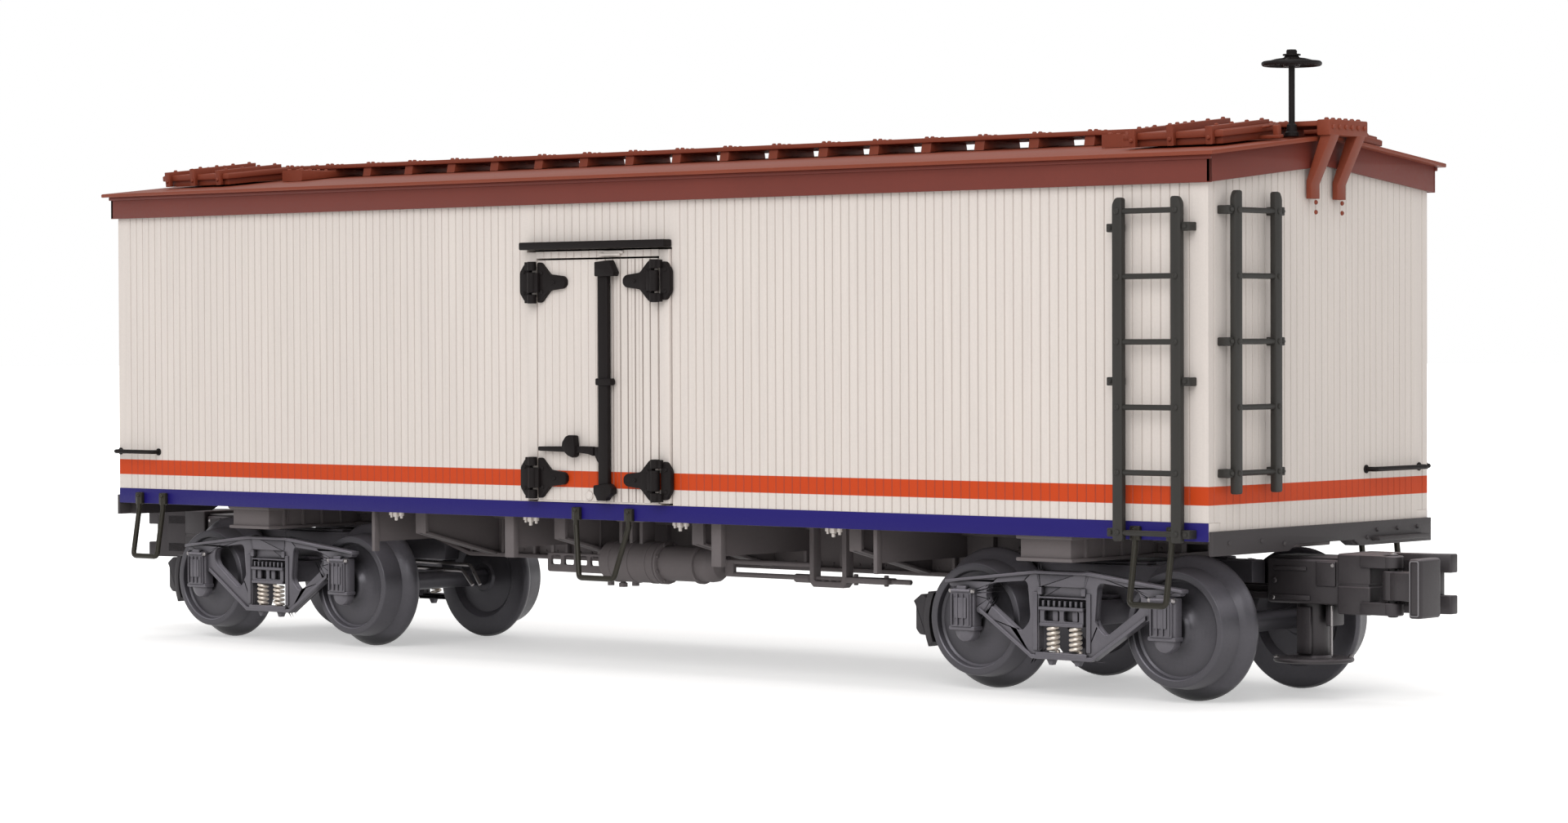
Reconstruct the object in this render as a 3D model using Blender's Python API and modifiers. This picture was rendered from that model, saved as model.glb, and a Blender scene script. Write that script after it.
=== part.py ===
"""A wooden refrigerator car, an O scale (1:48) model for 31.75 mm gauge track.

Frame: +X towards the end with the brake wheel, +Z up, -Y is the right-hand side seen
facing that end. The car stands on its wheel flanges at z = 0 and its centre is x = y = 0.
What is alike on both sides or both ends is built once, for the -Y side or the +X end,
and placed again under an empty turned half round.
"""
import math

import bmesh
import bpy
from mathutils import Matrix, Vector

# Fits
SEAM = 0.0003              # gap between two pieces that touch
OVERLAP = 0.0002           # how far pieces of one casting run into each other
ROUND_STEPS = 20           # sides of a wheel, with one of them flat on the floor
SMALL_STEPS = 6            # sides of a thin bar or pin

# Wheels and axles
GAUGE = 0.03175            # between the rail heads
WHEEL_PLAY = 0.0008        # flange to the rail head
RIM_RADIUS = 0.0083
TREAD_TAPER = 0.00045      # tread's radius at the flange over that at the rim
FLANGE_DEPTH = 0.00185
FLANGE_WIDTH = 0.0026
TREAD_WIDTH = 0.0037       # flange to the rim's outer face
RIM_THICKNESS = 0.0015
HUB_RADIUS = 0.0024
AXLE_RADIUS = 0.0015
JOURNAL_RADIUS = 0.0009
JOURNAL_LENGTH = 0.0021
BEARING_GAP = 0.0003       # round the journal in its box

# Trucks
TRUCK_INSET = 0.0304       # truck's centre from the end of the body
WHEELBASE = 0.0357
FRAME_GAP = 0.0011         # rim's face to the back of the side frame
FRAME_THICKNESS = 0.0014
FRAME_TAIL = 0.0012        # end of the side frame past the journal box
FRAME_RIB = 0.0005         # how far the chords stand proud of the web
FRAME_CLEARANCE = 0.0015   # arch to the body bolster over it
CHORD_RISE = 0.0019        # arch of the top chord
CHORD_DEPTH = 0.0010
FRAME_BOTTOM = 0.0050      # spring seat's underside below the axle
SEAT_THICKNESS = 0.0012
SEAT_HALF_LENGTH = 0.0053
BOLSTER_WINDOW_HALF = 0.0042
BOLSTER_WINDOW_TOP = 0.0038
COLUMN_WIDTH = 0.0015      # between the bolster window and a side window
BOX_LENGTH = 0.0043
BOX_HEIGHT = 0.0065
BOX_PROUD = 0.0007         # journal box in front of the side frame
BOX_RISE = 0.0019          # middle of the journal box above the axle
SPRING_RADIUS = 0.0009
SPRING_WIRE = 0.00035
SPRING_TURNS = 3
SPRING_SPREAD = 0.0022     # each coil from the middle of its window
BOLSTER_DEPTH = 0.0040
CENTRE_PLATE_RADIUS = 0.0040

# Car body
WHEEL_CLEARANCE = 0.0026   # top of the flanges to the side sill's bottom
BODY_LENGTH = 0.2298
BODY_WIDTH = 0.0568
WALL = 0.0020
FLOOR_THICKNESS = 0.0015
END_WALL_RAISE = 0.0014    # bottom of the end wall above the side sill's bottom
SILL_BOARD_HEIGHT = 0.0026

# Roof
EAVES_HEIGHT = 0.0532      # side sill's bottom to the underside of the roof sheet at its edge
ROOF_RISE = 0.0032
ROOF_SHEET = 0.0006
ROOF_OVERHANG = 0.0012     # sheet past the fascia
FASCIA_DEPTH = 0.0037
FASCIA_THICKNESS = 0.0006

# Running board on the roof
BOARD_RISE = 0.0018        # top of the board above the ridge
BOARD_THICKNESS = 0.0007
BOARD_WIDTH = 0.0096
SADDLE_PITCH = 0.0103
SADDLE_LENGTH = 0.0019
SADDLE_INSET = 0.0004
END_CLEAT_LENGTH = 0.0022
END_CLEAT_DEPTH = 0.0021
WIDE_SADDLE_GAP = 0.0047   # to the cover of the hatch beside it
WIDE_SADDLE_LENGTH = 0.0050
WIDE_SADDLE_HALF_WIDTH = 0.0125
WIDE_SADDLE_HEIGHT = 0.0020
BRACE_Y = 0.0034
BRACE_WIDTH = 0.0023
BRACE_THICKNESS = 0.0009
BRACE_DROP = 0.0019        # bend below the fascia
BRACE_FOOT = 0.0025        # length of the foot below the bend

# Ice hatches, measured in the plane of the roof
HATCH_INSET = 0.0114       # middle of the hatch from the end of the body
HATCH_LENGTH = 0.0160
HATCH_GAP = 0.0022         # curb to the running board
HATCH_WIDTH = 0.0130
CURB_HEIGHT = 0.0010
COVER_THICKNESS = 0.0009
COVER_LIP = 0.0006
BATTEN_WIDTH = 0.0012
BATTEN_HEIGHT = 0.0007
BATTEN_SPREAD = 0.0066
HASP_LENGTH = 0.0034
HASP_WIDTH = 0.0012

# Brake staff
STAFF_GAP = 0.0009         # hatch cover to the foot of the staff
STAFF_FOOT_RADIUS = 0.0010
STAFF_FOOT_HEIGHT = 0.0018
STAFF_RADIUS = 0.00045
STAFF_HEIGHT = 0.0116      # above the ridge
HANDWHEEL_DROP = 0.0017    # rim below the top of the staff
HANDWHEEL_RADIUS = 0.0043
HANDWHEEL_RIM = 0.00038
SPOKES = 5

# Doorway
DOORWAY_HALF = 0.0131
DOORWAY_DROP = 0.0085      # top of the doorway below the fascia
DOOR_THICKNESS = 0.0020
DOOR_EDGE_BEVEL = 0.0005
CASING_WIDTH = 0.0021
CASING_PROUD = 0.0004
DRIP_OVERHANG = 0.0003     # drip rail past the casing
DRIP_HEIGHT = 0.0012
DRIP_DEPTH = 0.0017

# Door hinges
HINGE_HEIGHT = 0.0066
HINGE_MARGIN = 0.0002      # hinge's plate to the door's top or bottom edge
HINGE_THICKNESS = 0.0008
KNUCKLE_RADIUS = 0.00075
KNUCKLE_LENGTH = 0.0032
FIXED_PLATE_LENGTH = 0.0019
MOVING_PLATE_LENGTH = 0.0014
STRAP_HEIGHT = 0.0024
STRAP_TIP_HEIGHT = 0.0016
STRAP_GAP = 0.0013         # tip of the strap to the keeper of the rod

# Door lock
ROD_EDGE = 0.0002          # bar to the free edge of its leaf
ROD_WIDTH = 0.0022
ROD_THICKNESS = 0.0010
KEEPER_WIDTH = 0.0040
KEEPER_HEIGHT = 0.0026
GUIDE_RISE = 0.0190        # middle guide above the bottom of the doorway
HANDLE_GAP = 0.00085       # handle over the lower hinge
HANDLE_INSET = 0.0013      # end of the handle from the hinge pin
HANDLE_THICKNESS = 0.0009
LATCH_X = 0.0047
LATCH_SIZE = 0.0026

# Ladders
LADDER_WIDTH = 0.0116      # over the stiles
STILE_WIDTH = 0.0021
STILE_THICKNESS = 0.0010
LADDER_CLEARANCE = 0.0001  # back of the stile to the corner step's legs
RUNG_PITCH = 0.0091
RUNG_RADIUS = 0.0004
RUNG_COUNT = 5
TOP_RUNG_DROP = 0.0037     # below the fascia
SIDE_LADDER_INSET = 0.0089 # middle of the ladder from the end of the body
SIDE_LADDER_HORN = 0.0019  # stile over the top rung
SIDE_LADDER_FOOT = 0.0096  # stile under the lowest rung
END_LADDER_INSET = 0.0091
END_LADDER_HORN = 0.0027
END_LADDER_FOOT = 0.0029
BRACKET_SIZE = 0.0012

# Grab irons and steps
GRAB_RADIUS = 0.00035
GRAB_STANDOFF = 0.0015
GRAB_HEIGHT = 0.0090
SIDE_GRAB_INSET = 0.0054
SIDE_GRAB_LENGTH = 0.0100
END_GRAB_INSET = 0.0096
END_GRAB_LENGTH = 0.0144
STEP_ROD_RADIUS = 0.00045
STEP_TOP = 0.0018
STEP_DROP = 0.0090         # tread below the side sill's bottom
STEP_LEAN = 0.0014         # tread out from the top of the legs
STEP_SHOULDER = 0.0009     # where the legs start to lean, below the sill
CORNER_STEP_HALF = 0.0031
DOOR_STEP_HALF_TOP = 0.0056
DOOR_STEP_HALF_TREAD = 0.0037
DOOR_STEP_SHIFT = 0.0011   # from the middle of the doorway

# Underframe, depths below the side sill's bottom
CENTRE_SILL_HALF = 0.0040
SILL_FLANGE_HALF = 0.0054
SILL_FLANGE = 0.0007
SILL_REACH = 0.0095        # centre sill past the truck's centre
DRAFT_DEPTH = 0.0018       # sill over the coupler, from there to the end sill
BELLY_DEPTH = 0.0082
SHALLOW_DEPTH = 0.0039
BELLY_INSET = 0.0325       # end of the deep part from the truck's centre
BELLY_SLOPE = 0.0140
BODY_BOLSTER_LENGTH = 0.0100
BODY_BOLSTER_INSET = 0.0027
BEARER_INSET = 0.0055      # outer bearer from the end of the deep part
BEARER_LENGTH = 0.0024
BEARER_MARGIN = 0.0064     # end of a bearer in from the body's side
BEARER_END_DEPTH = 0.0037
END_SILL_PROUD = 0.0007
END_SILL_DEPTH = 0.0020
COUPLER_NOTCH_HALF = 0.0075
COUPLER_NOTCH_DEPTH = 0.0011
FOOT_PLATE_INSET = 0.0094
FOOT_PLATE_LENGTH = 0.0140
FOOT_PLATE_DEPTH = 0.0014
FOOT_PLATE_THICKNESS = 0.0006

# Brake gear under the floor
BRAKE_Y = 0.0130
BRAKE_DEPTH = 0.0074       # axis of the cylinder below the side sill's bottom
BRAKE_GAP = 0.0011         # each end of it to the bearer
VALVE_GAP = 0.0009         # bracket to the reservoir
RESERVOIR_RADIUS = 0.0033
RESERVOIR_LENGTH = 0.0125
CYLINDER_RADIUS = 0.0028
CYLINDER_LENGTH = 0.0085
CYLINDER_FLANGE = 0.0034
BRAKE_HEAD_LENGTH = 0.0040 # lobe at the end of the cylinder
BRAKE_HEAD_RADIUS = 0.0025
BRAKE_FOOT_LENGTH = 0.0060
BRAKE_FOOT_WIDTH = 0.0034
VALVE_LENGTH = 0.0125      # bracket beside the reservoir
VALVE_DROP = 0.0096
VALVE_HEIGHT = 0.0031
VALVE_THICKNESS = 0.0006
VALVE_BAR = 0.0008         # bars between the windows of the bracket
VALVE_WINDOWS = 4
ROD_RADIUS = 0.0004
HANGER_START_SHARE = 0.498 # its two ends, as shares of the room between the cross bearers
HANGER_END_SHARE = 0.732
HANGER_DROP = 0.0100
HANGER_THICKNESS = 0.0009
PULL_ROD_DROP = 0.0067     # upper rod below the side sill's bottom
PULL_ROD_SPREAD = 0.0020   # lower rod under the upper one
PULL_ROD_MARGIN = 0.0060   # end of the long rod to the flange of the inner wheel
LEVER_SHARE = 0.70         # lever's length, as a share from the hanger to the rod's end
LEVER_WIDTH = 0.0030

# Couplers, from the truck's centre and the axle's height
TONGUE_WIDTH = 0.0060
TONGUE_THICKNESS = 0.0010
TONGUE_EYE = 0.0020        # width of the eye round the centre plate
HOUSING_START = 0.0235
HOUSING_LENGTH = 0.0122
HOUSING_HALF = 0.0038
HOUSING_HEIGHT = 0.0064
HEAD_LENGTH = 0.0055
HEAD_HALF = 0.0044
HEAD_HEIGHT = 0.0086
HEAD_TOP = 0.0108          # above the axle
KNUCKLE_PIN_Y = 0.0033
LUG_RADIUS = 0.0015
LUG_THICKNESS = 0.0019
HUB_GAP = 0.0016           # head to the hub of the knuckle
JAW_LENGTH = 0.0056        # pin to the face of the knuckle
JAW_THICKNESS = 0.0019     # of the knuckle's hook along the car
JAW_HALF = 0.0017          # wall of the knuckle beside the pin
JAW_REACH = 0.0040         # how far the hook comes in past the pin
GUARD_LENGTH = 0.0080
GUARD_FLARE = 0.0016
GUARD_THICKNESS = 0.0018
PLUNGER_OFFSET = 0.0055    # from the start of the housing
PLUNGER_RADIUS = 0.0024
DISC_RADIUS = 0.0058
DISC_THICKNESS = 0.0006
DISC_DROP = 0.0051         # underside of the disc below the axle

# Wheels and trucks, as they follow from the sizes above
TREAD_RADIUS = RIM_RADIUS + TREAD_TAPER
FLANGE_RADIUS = TREAD_RADIUS + FLANGE_DEPTH
FLANGE_FACE_Y = GAUGE / 2 - WHEEL_PLAY
RIM_FACE_Y = FLANGE_FACE_Y + TREAD_WIDTH
JOURNAL_END_Y = RIM_FACE_Y + JOURNAL_LENGTH
FRAME_FACE_Y = RIM_FACE_Y + FRAME_GAP + FRAME_THICKNESS
BOX_FACE_Y = FRAME_FACE_Y + BOX_PROUD
FRAME_HALF_LENGTH = WHEELBASE / 2 + BOX_LENGTH / 2 + FRAME_TAIL
FRAME_TOP = FLANGE_RADIUS + WHEEL_CLEARANCE - SHALLOW_DEPTH - FRAME_CLEARANCE
HEAD_START = HOUSING_START + HOUSING_LENGTH
KNUCKLE_PIN_X = HEAD_START + HEAD_LENGTH + HUB_GAP + LUG_RADIUS
AXLE_Z = FLANGE_RADIUS * math.cos(math.pi / ROUND_STEPS)

# Body, roof and doorway, as they follow from the sizes above
SILL_Z = AXLE_Z + FLANGE_RADIUS + WHEEL_CLEARANCE
HALF_LENGTH = BODY_LENGTH / 2
HALF_WIDTH = BODY_WIDTH / 2
TRUCK_X = HALF_LENGTH - TRUCK_INSET
FASCIA_Y = HALF_WIDTH + SEAM + FASCIA_THICKNESS
FASCIA_X = HALF_LENGTH + SEAM + FASCIA_THICKNESS
FASCIA_LOW = SILL_Z + EAVES_HEIGHT - FASCIA_DEPTH
ROOF_HALF_WIDTH = FASCIA_Y + ROOF_OVERHANG
ROOF_HALF_LENGTH = FASCIA_X + ROOF_OVERHANG
ROOF_SLOPE = ROOF_RISE / ROOF_HALF_WIDTH
RIDGE_Z = SILL_Z + EAVES_HEIGHT + ROOF_SHEET + ROOF_RISE
BOARD_HALF_LENGTH = ROOF_HALF_LENGTH + SEAM + END_CLEAT_LENGTH
BOARD_Z = RIDGE_Z + BOARD_RISE
HATCH_X = HALF_LENGTH - HATCH_INSET
HATCH_NEAR = BOARD_WIDTH / 2 + HATCH_GAP
STAFF_X = HATCH_X + HATCH_LENGTH / 2 + COVER_LIP + STAFF_GAP + STAFF_FOOT_RADIUS
STAFF_Y = BOARD_WIDTH / 2 + OVERLAP + SEAM + STAFF_FOOT_RADIUS
STAFF_TOP = RIDGE_Z + STAFF_HEIGHT
DOORWAY_LOW = SILL_Z + SILL_BOARD_HEIGHT
DOORWAY_TOP = FASCIA_LOW - DOORWAY_DROP
CASING_HALF = DOORWAY_HALF + CASING_WIDTH
CASING_TOP = DOORWAY_TOP + CASING_WIDTH / 2
DOOR_FACE_Y = HALF_WIDTH + CASING_PROUD
PIN_X = DOORWAY_HALF
PIN_Y = DOOR_FACE_Y + SEAM + KNUCKLE_RADIUS
HINGE_INSET = HINGE_HEIGHT / 2 + HINGE_MARGIN
ROD_X = SEAM + ROD_EDGE + ROD_WIDTH / 2
KEEPER_TIP = ROD_X - ROD_WIDTH / 2 - OVERLAP + KEEPER_WIDTH
LADDER_STANDOFF = SEAM + 2 * STEP_ROD_RADIUS + LADDER_CLEARANCE
TOP_RUNG = FASCIA_LOW - TOP_RUNG_DROP
LOW_RUNG = TOP_RUNG - (RUNG_COUNT - 1) * RUNG_PITCH
BELLY_HALF_LENGTH = TRUCK_X - BELLY_INSET
BRAKE_HALF_LENGTH = (RESERVOIR_LENGTH + CYLINDER_LENGTH + BRAKE_HEAD_LENGTH) / 2
BEARER_INNER_X = BRAKE_HALF_LENGTH + BRAKE_GAP + BEARER_LENGTH / 2
BEARER_OUTER_X = BELLY_HALF_LENGTH - BEARER_INSET
BEARER_HALF = HALF_WIDTH - BEARER_MARGIN

PAINTS = {
    "white": ((0.70, 0.65, 0.61), 0.55, 0.0),
    "red_brown": ((0.25, 0.06, 0.035), 0.5, 0.0),
    "black": ((0.02, 0.018, 0.018), 0.45, 0.0),
    "ladder_grey": ((0.045, 0.04, 0.038), 0.5, 0.0),
    "underframe": ((0.035, 0.03, 0.032), 0.6, 0.0),
    "truck_grey": ((0.065, 0.06, 0.07), 0.45, 0.3),
    "wheel_steel": ((0.07, 0.07, 0.08), 0.35, 0.7),
}


def paint(name):
    """The material of one colour, made the first time that it is asked for."""
    material = bpy.data.materials.get(name)
    if material is None:
        colour, roughness, metallic = PAINTS[name]
        material = bpy.data.materials.new(name)
        material.use_nodes = True
        shader = material.node_tree.nodes["Principled BSDF"]
        shader.inputs["Base Color"].default_value = (*colour, 1.0)
        shader.inputs["Roughness"].default_value = roughness
        shader.inputs["Metallic"].default_value = metallic
        material.diffuse_color = (*colour, 1.0)
    return material


def solid(bm):
    """An object in the workshop collection from a bmesh."""
    mesh = bpy.data.meshes.new("piece")
    bm.to_mesh(mesh)
    bm.free()
    piece = bpy.data.objects.new("piece", mesh)
    workshop.objects.link(piece)
    return piece


def bake(piece):
    """Replace the object's data by its evaluated mesh, with doubled points merged."""
    bpy.context.view_layer.update()
    depsgraph = bpy.context.evaluated_depsgraph_get()
    mesh = bpy.data.meshes.new_from_object(piece.evaluated_get(depsgraph))
    bm = bmesh.new()
    bm.from_mesh(mesh)
    bmesh.ops.remove_doubles(bm, verts=bm.verts, dist=1e-7)
    bm.to_mesh(mesh)
    bm.free()
    piece.modifiers.clear()
    piece.data = mesh
    return piece


def block(x, y, z, bevel=0.0):
    """A box between the (low, high) pairs x, y and z, with its edges bevelled."""
    bm = bmesh.new()
    bmesh.ops.create_cube(bm, size=1.0)
    size = Vector((x[1] - x[0], y[1] - y[0], z[1] - z[0]))
    middle = Vector((x[0] + x[1], y[0] + y[1], z[0] + z[1])) / 2
    bmesh.ops.scale(bm, vec=size, verts=bm.verts)
    bmesh.ops.translate(bm, vec=middle, verts=bm.verts)
    if bevel:
        bmesh.ops.bevel(bm, geom=bm.edges[:], offset=bevel, segments=1, profile=0.5, affect="EDGES")
    return solid(bm)


def cylinder(start, end, radius, steps=16, end_radius=None):
    """A round bar or a cone between two points."""
    start, end = Vector(start), Vector(end)
    bm = bmesh.new()
    bmesh.ops.create_cone(bm, cap_ends=True, segments=steps, radius1=radius,
                          radius2=radius if end_radius is None else end_radius,
                          depth=(end - start).length)
    turn = Vector((0, 0, 1)).rotation_difference(end - start).to_matrix().to_4x4()
    bmesh.ops.transform(bm, matrix=Matrix.Translation((start + end) / 2) @ turn, verts=bm.verts)
    return solid(bm)


def from_curve(curve, matrix):
    """The mesh of a curve, with its caps welded, in place of the curve."""
    guide = bpy.data.objects.new("guide", curve)
    workshop.objects.link(guide)
    bpy.context.view_layer.update()
    depsgraph = bpy.context.evaluated_depsgraph_get()
    mesh = bpy.data.meshes.new_from_object(guide.evaluated_get(depsgraph))
    bpy.data.objects.remove(guide)
    bm = bmesh.new()
    bm.from_mesh(mesh)
    bmesh.ops.transform(bm, matrix=matrix, verts=bm.verts)
    bmesh.ops.remove_doubles(bm, verts=bm.verts, dist=1e-6)
    bmesh.ops.recalc_face_normals(bm, faces=bm.faces)
    return solid(bm)


# Columns of each matrix: where the outline's first and second direction and its thickness point
ACROSS = {
    "X": Matrix(((0, 0, 1), (1, 0, 0), (0, 1, 0))),
    "Y": Matrix(((1, 0, 0), (0, 0, -1), (0, 1, 0))),
    "Z": Matrix.Identity(3),
}


def outline(loops, axis, low, high):
    """A flat shape, its first loop outside and the others holes, as thick as low to high.

    Loops are in (y, z) across X, in (x, z) across Y and in (x, y) across Z. The curve is
    filled at a thousand times its size, which suits the fill's own tolerance.
    """
    enlarge = 1000
    curve = bpy.data.curves.new("outline", "CURVE")
    curve.dimensions = "2D"
    curve.fill_mode = "BOTH"
    curve.extrude = (high - low) / 2 * enlarge
    for loop in loops:
        spline = curve.splines.new("POLY")
        spline.points.add(len(loop) - 1)
        for point, (u, v) in zip(spline.points, loop):
            point.co = (u * enlarge, v * enlarge, 0, 1)
        spline.use_cyclic_u = True
    shift = Vector((0, 0, 0))
    shift["XYZ".index(axis)] = (low + high) / 2
    turn = ACROSS[axis].to_4x4()
    return from_curve(curve, Matrix.Translation(shift) @ turn @ Matrix.Scale(1 / enlarge, 4))


def rod(points, radius):
    """A bent round bar through the points."""
    enlarge = 1000
    curve = bpy.data.curves.new("rod", "CURVE")
    curve.dimensions = "3D"
    curve.bevel_depth = radius * enlarge
    curve.bevel_resolution = 1
    curve.use_fill_caps = True
    spline = curve.splines.new("POLY")
    spline.points.add(len(points) - 1)
    for point, place in zip(spline.points, points):
        point.co = (*(Vector(place) * enlarge), 1)
    return from_curve(curve, Matrix.Scale(1 / enlarge, 4))


def turned(profile, steps, phase=0.0):
    """A (radius, height) profile, top to bottom, turned round Z."""
    mesh = bpy.data.meshes.new("profile")
    points = [(radius, 0, height) for radius, height in profile]
    mesh.from_pydata(points, [(i, i + 1) for i in range(len(points) - 1)], [])
    piece = bpy.data.objects.new("turned", mesh)
    workshop.objects.link(piece)
    screw = piece.modifiers.new("screw", "SCREW")
    screw.steps = steps
    screw.render_steps = steps
    screw.use_merge_vertices = True
    screw.merge_threshold = 1e-6
    bake(piece)
    piece.data.transform(Matrix.Rotation(phase, 4, "Z"))
    return piece


def combine(base, others, operation):
    """Join the others to the base, or cut them out of it, and take them away."""
    for other in others:
        modifier = base.modifiers.new(operation.lower(), "BOOLEAN")
        modifier.operation = operation
        modifier.object = other
    bake(base)
    for other in others:
        bpy.data.objects.remove(other)
    return base


def union(base, *others):
    return combine(base, others, "UNION")


def cut(base, *others):
    return combine(base, others, "DIFFERENCE")


def moved(piece, matrix):
    """The piece with the matrix applied to its mesh."""
    piece.data.transform(matrix)
    if matrix.determinant() < 0:
        piece.data.flip_normals()
    return piece


def copy_of(piece, matrix):
    """A second piece of the same form, moved by the matrix."""
    twin = bpy.data.objects.new("copy", piece.data.copy())
    workshop.objects.link(twin)
    return moved(twin, matrix)


def place(piece, name, colour, parent=None, location=(0, 0, 0)):
    """Give a finished piece its name, colour and place in the car."""
    workshop.objects.unlink(piece)
    car.objects.link(piece)
    piece.name = name
    piece.data.name = name
    piece.data.materials.clear()
    piece.data.materials.append(paint(colour))
    piece.data.shade_smooth()
    piece.data.set_sharp_from_angle(angle=math.radians(35))
    piece.parent = parent
    piece.location = location
    return piece


def place_again(first, name, parent, location=None):
    """The same piece once more, under another empty."""
    twin = bpy.data.objects.new(name, first.data)
    car.objects.link(twin)
    twin.parent = parent
    twin.location = first.location if location is None else location
    return twin


def empty(name, location=(0, 0, 0), turn=0.0, parent=None):
    """An empty that carries the pieces of one side, end or truck."""
    holder = bpy.data.objects.new(name, None)
    holder.empty_display_size = HALF_WIDTH / 3
    holder.location = location
    holder.rotation_euler = (0, 0, turn)
    holder.parent = parent
    car.objects.link(holder)
    return holder


def mirrored_loop(half):
    """A closed loop from its right half, listed from top to bottom."""
    return half + [(-u, v) for u, v in reversed(half)]


def roof_height(y):
    """The roof sheet's top surface at a distance from the ridge."""
    return RIDGE_Z - ROOF_SLOPE * abs(y)


def side_wall():
    """The right-hand wall with its sill board and the opening for the door frame."""
    top = roof_height(HALF_WIDTH) - ROOF_SHEET - SEAM
    wall = block((-HALF_LENGTH, HALF_LENGTH), (-HALF_WIDTH, -HALF_WIDTH + WALL), (SILL_Z, top))
    opening = CASING_HALF + SEAM
    return cut(wall, block((-opening, opening), (-HALF_WIDTH - WALL, -HALF_WIDTH + 2 * WALL),
                           (DOORWAY_LOW, CASING_TOP + SEAM)))


def door_frame():
    """The casing set in the right-hand wall, with the fixed halves of the hinges."""
    low = DOORWAY_LOW + SEAM
    half_loop = [(CASING_HALF, CASING_TOP), (CASING_HALF, low), (DOORWAY_HALF, low),
                 (DOORWAY_HALF, DOORWAY_TOP)]
    casing = outline([mirrored_loop(half_loop)], "Y", -DOOR_FACE_Y, -HALF_WIDTH + WALL)
    return union(casing, *[fixed_hinge(side, height) for side in (-1, 1) for height in hinge_heights()])


def hinge_heights():
    """Heights of the two hinges of a leaf."""
    return (DOORWAY_LOW + SEAM + HINGE_INSET, DOORWAY_TOP - SEAM - HINGE_INSET)


def hinge_ear(side, reach, low, high):
    """A length of knuckle round the pin, with a tail that reaches outwards, or inwards if negative."""
    r = KNUCKLE_RADIUS
    way = math.copysign(1, reach)
    loop = [(side * (PIN_X + u), v - PIN_Y) for u, v in (
        (reach, -r / 3), (way * r * 0.8, -r * 0.6), (0, -r), (-way * r * 0.87, -r / 2),
        (-way * r * 0.87, r / 2), (0, r), (way * r * 0.8, r * 0.6), (reach, r / 3))]
    return outline([loop], "Z", low, high)


def fixed_hinge(side, height):
    """The half of a hinge on the casing: a plate with an ear above and below the knuckle."""
    half = HINGE_HEIGHT / 2
    inner = PIN_X + KNUCKLE_RADIUS + SEAM
    outer = inner + FIXED_PLATE_LENGTH
    corner = FIXED_PLATE_LENGTH / 3
    loop = [(side * u, height + v) for u, v in (
        (inner, -half), (outer - corner, -half), (outer, -half + 2 * corner),
        (outer, half - 2 * corner), (outer - corner, half), (inner, half))]
    plate = outline([loop], "Y", -DOOR_FACE_Y - HINGE_THICKNESS, -DOOR_FACE_Y + OVERLAP)
    ears = []
    for way in (-1, 1):
        low, high = sorted((height + way * (KNUCKLE_LENGTH / 2 + SEAM), height + way * (half - OVERLAP)))
        ears.append(hinge_ear(side, inner + OVERLAP - PIN_X, low, high))
    return union(plate, *ears)


def door_leaf(side):
    """A leaf with its straps and knuckles, measured from its hinge pin. Side is -1 or 1 along X."""
    edge = DOORWAY_HALF - SEAM
    bottom, top = DOORWAY_LOW + SEAM, DOORWAY_TOP - SEAM
    back = -DOOR_FACE_Y + DOOR_THICKNESS
    loop = [(side * u, v) for u, v in (
        (edge, -DOOR_FACE_Y), (SEAM, -DOOR_FACE_Y), (SEAM, back - 2 * DOOR_EDGE_BEVEL),
        (SEAM + DOOR_EDGE_BEVEL, back), (edge, back))]
    leaf = outline([loop], "Z", bottom, top)
    leaf = union(leaf, *[hinge_strap(side, height) for height in hinge_heights()])
    return moved(leaf, Matrix.Translation((-side * PIN_X, PIN_Y, 0)))


def hinge_strap(side, height):
    """The moving half of a hinge: a knuckle, a plate and a tapered strap on the leaf."""
    plate_start = PIN_X - KNUCKLE_RADIUS - SEAM
    plate_end = plate_start - MOVING_PLATE_LENGTH
    half, strap, end = HINGE_HEIGHT / 2, STRAP_HEIGHT / 2, STRAP_TIP_HEIGHT / 2
    tip = KEEPER_TIP + STRAP_GAP + end / 2
    upper = [(plate_start, half), (plate_start - MOVING_PLATE_LENGTH / 2, half * 0.8), (plate_end, strap),
             (tip, end), (tip - end / 2, end / 2)]
    loop = [(side * u, height + v) for u, v in upper + [(u, -v) for u, v in reversed(upper)]]
    plate = outline([loop], "Y", -DOOR_FACE_Y - HINGE_THICKNESS, -DOOR_FACE_Y + OVERLAP)
    ear = hinge_ear(side, plate_start - OVERLAP - PIN_X,
                    height - KNUCKLE_LENGTH / 2, height + KNUCKLE_LENGTH / 2)
    return union(plate, ear)


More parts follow.
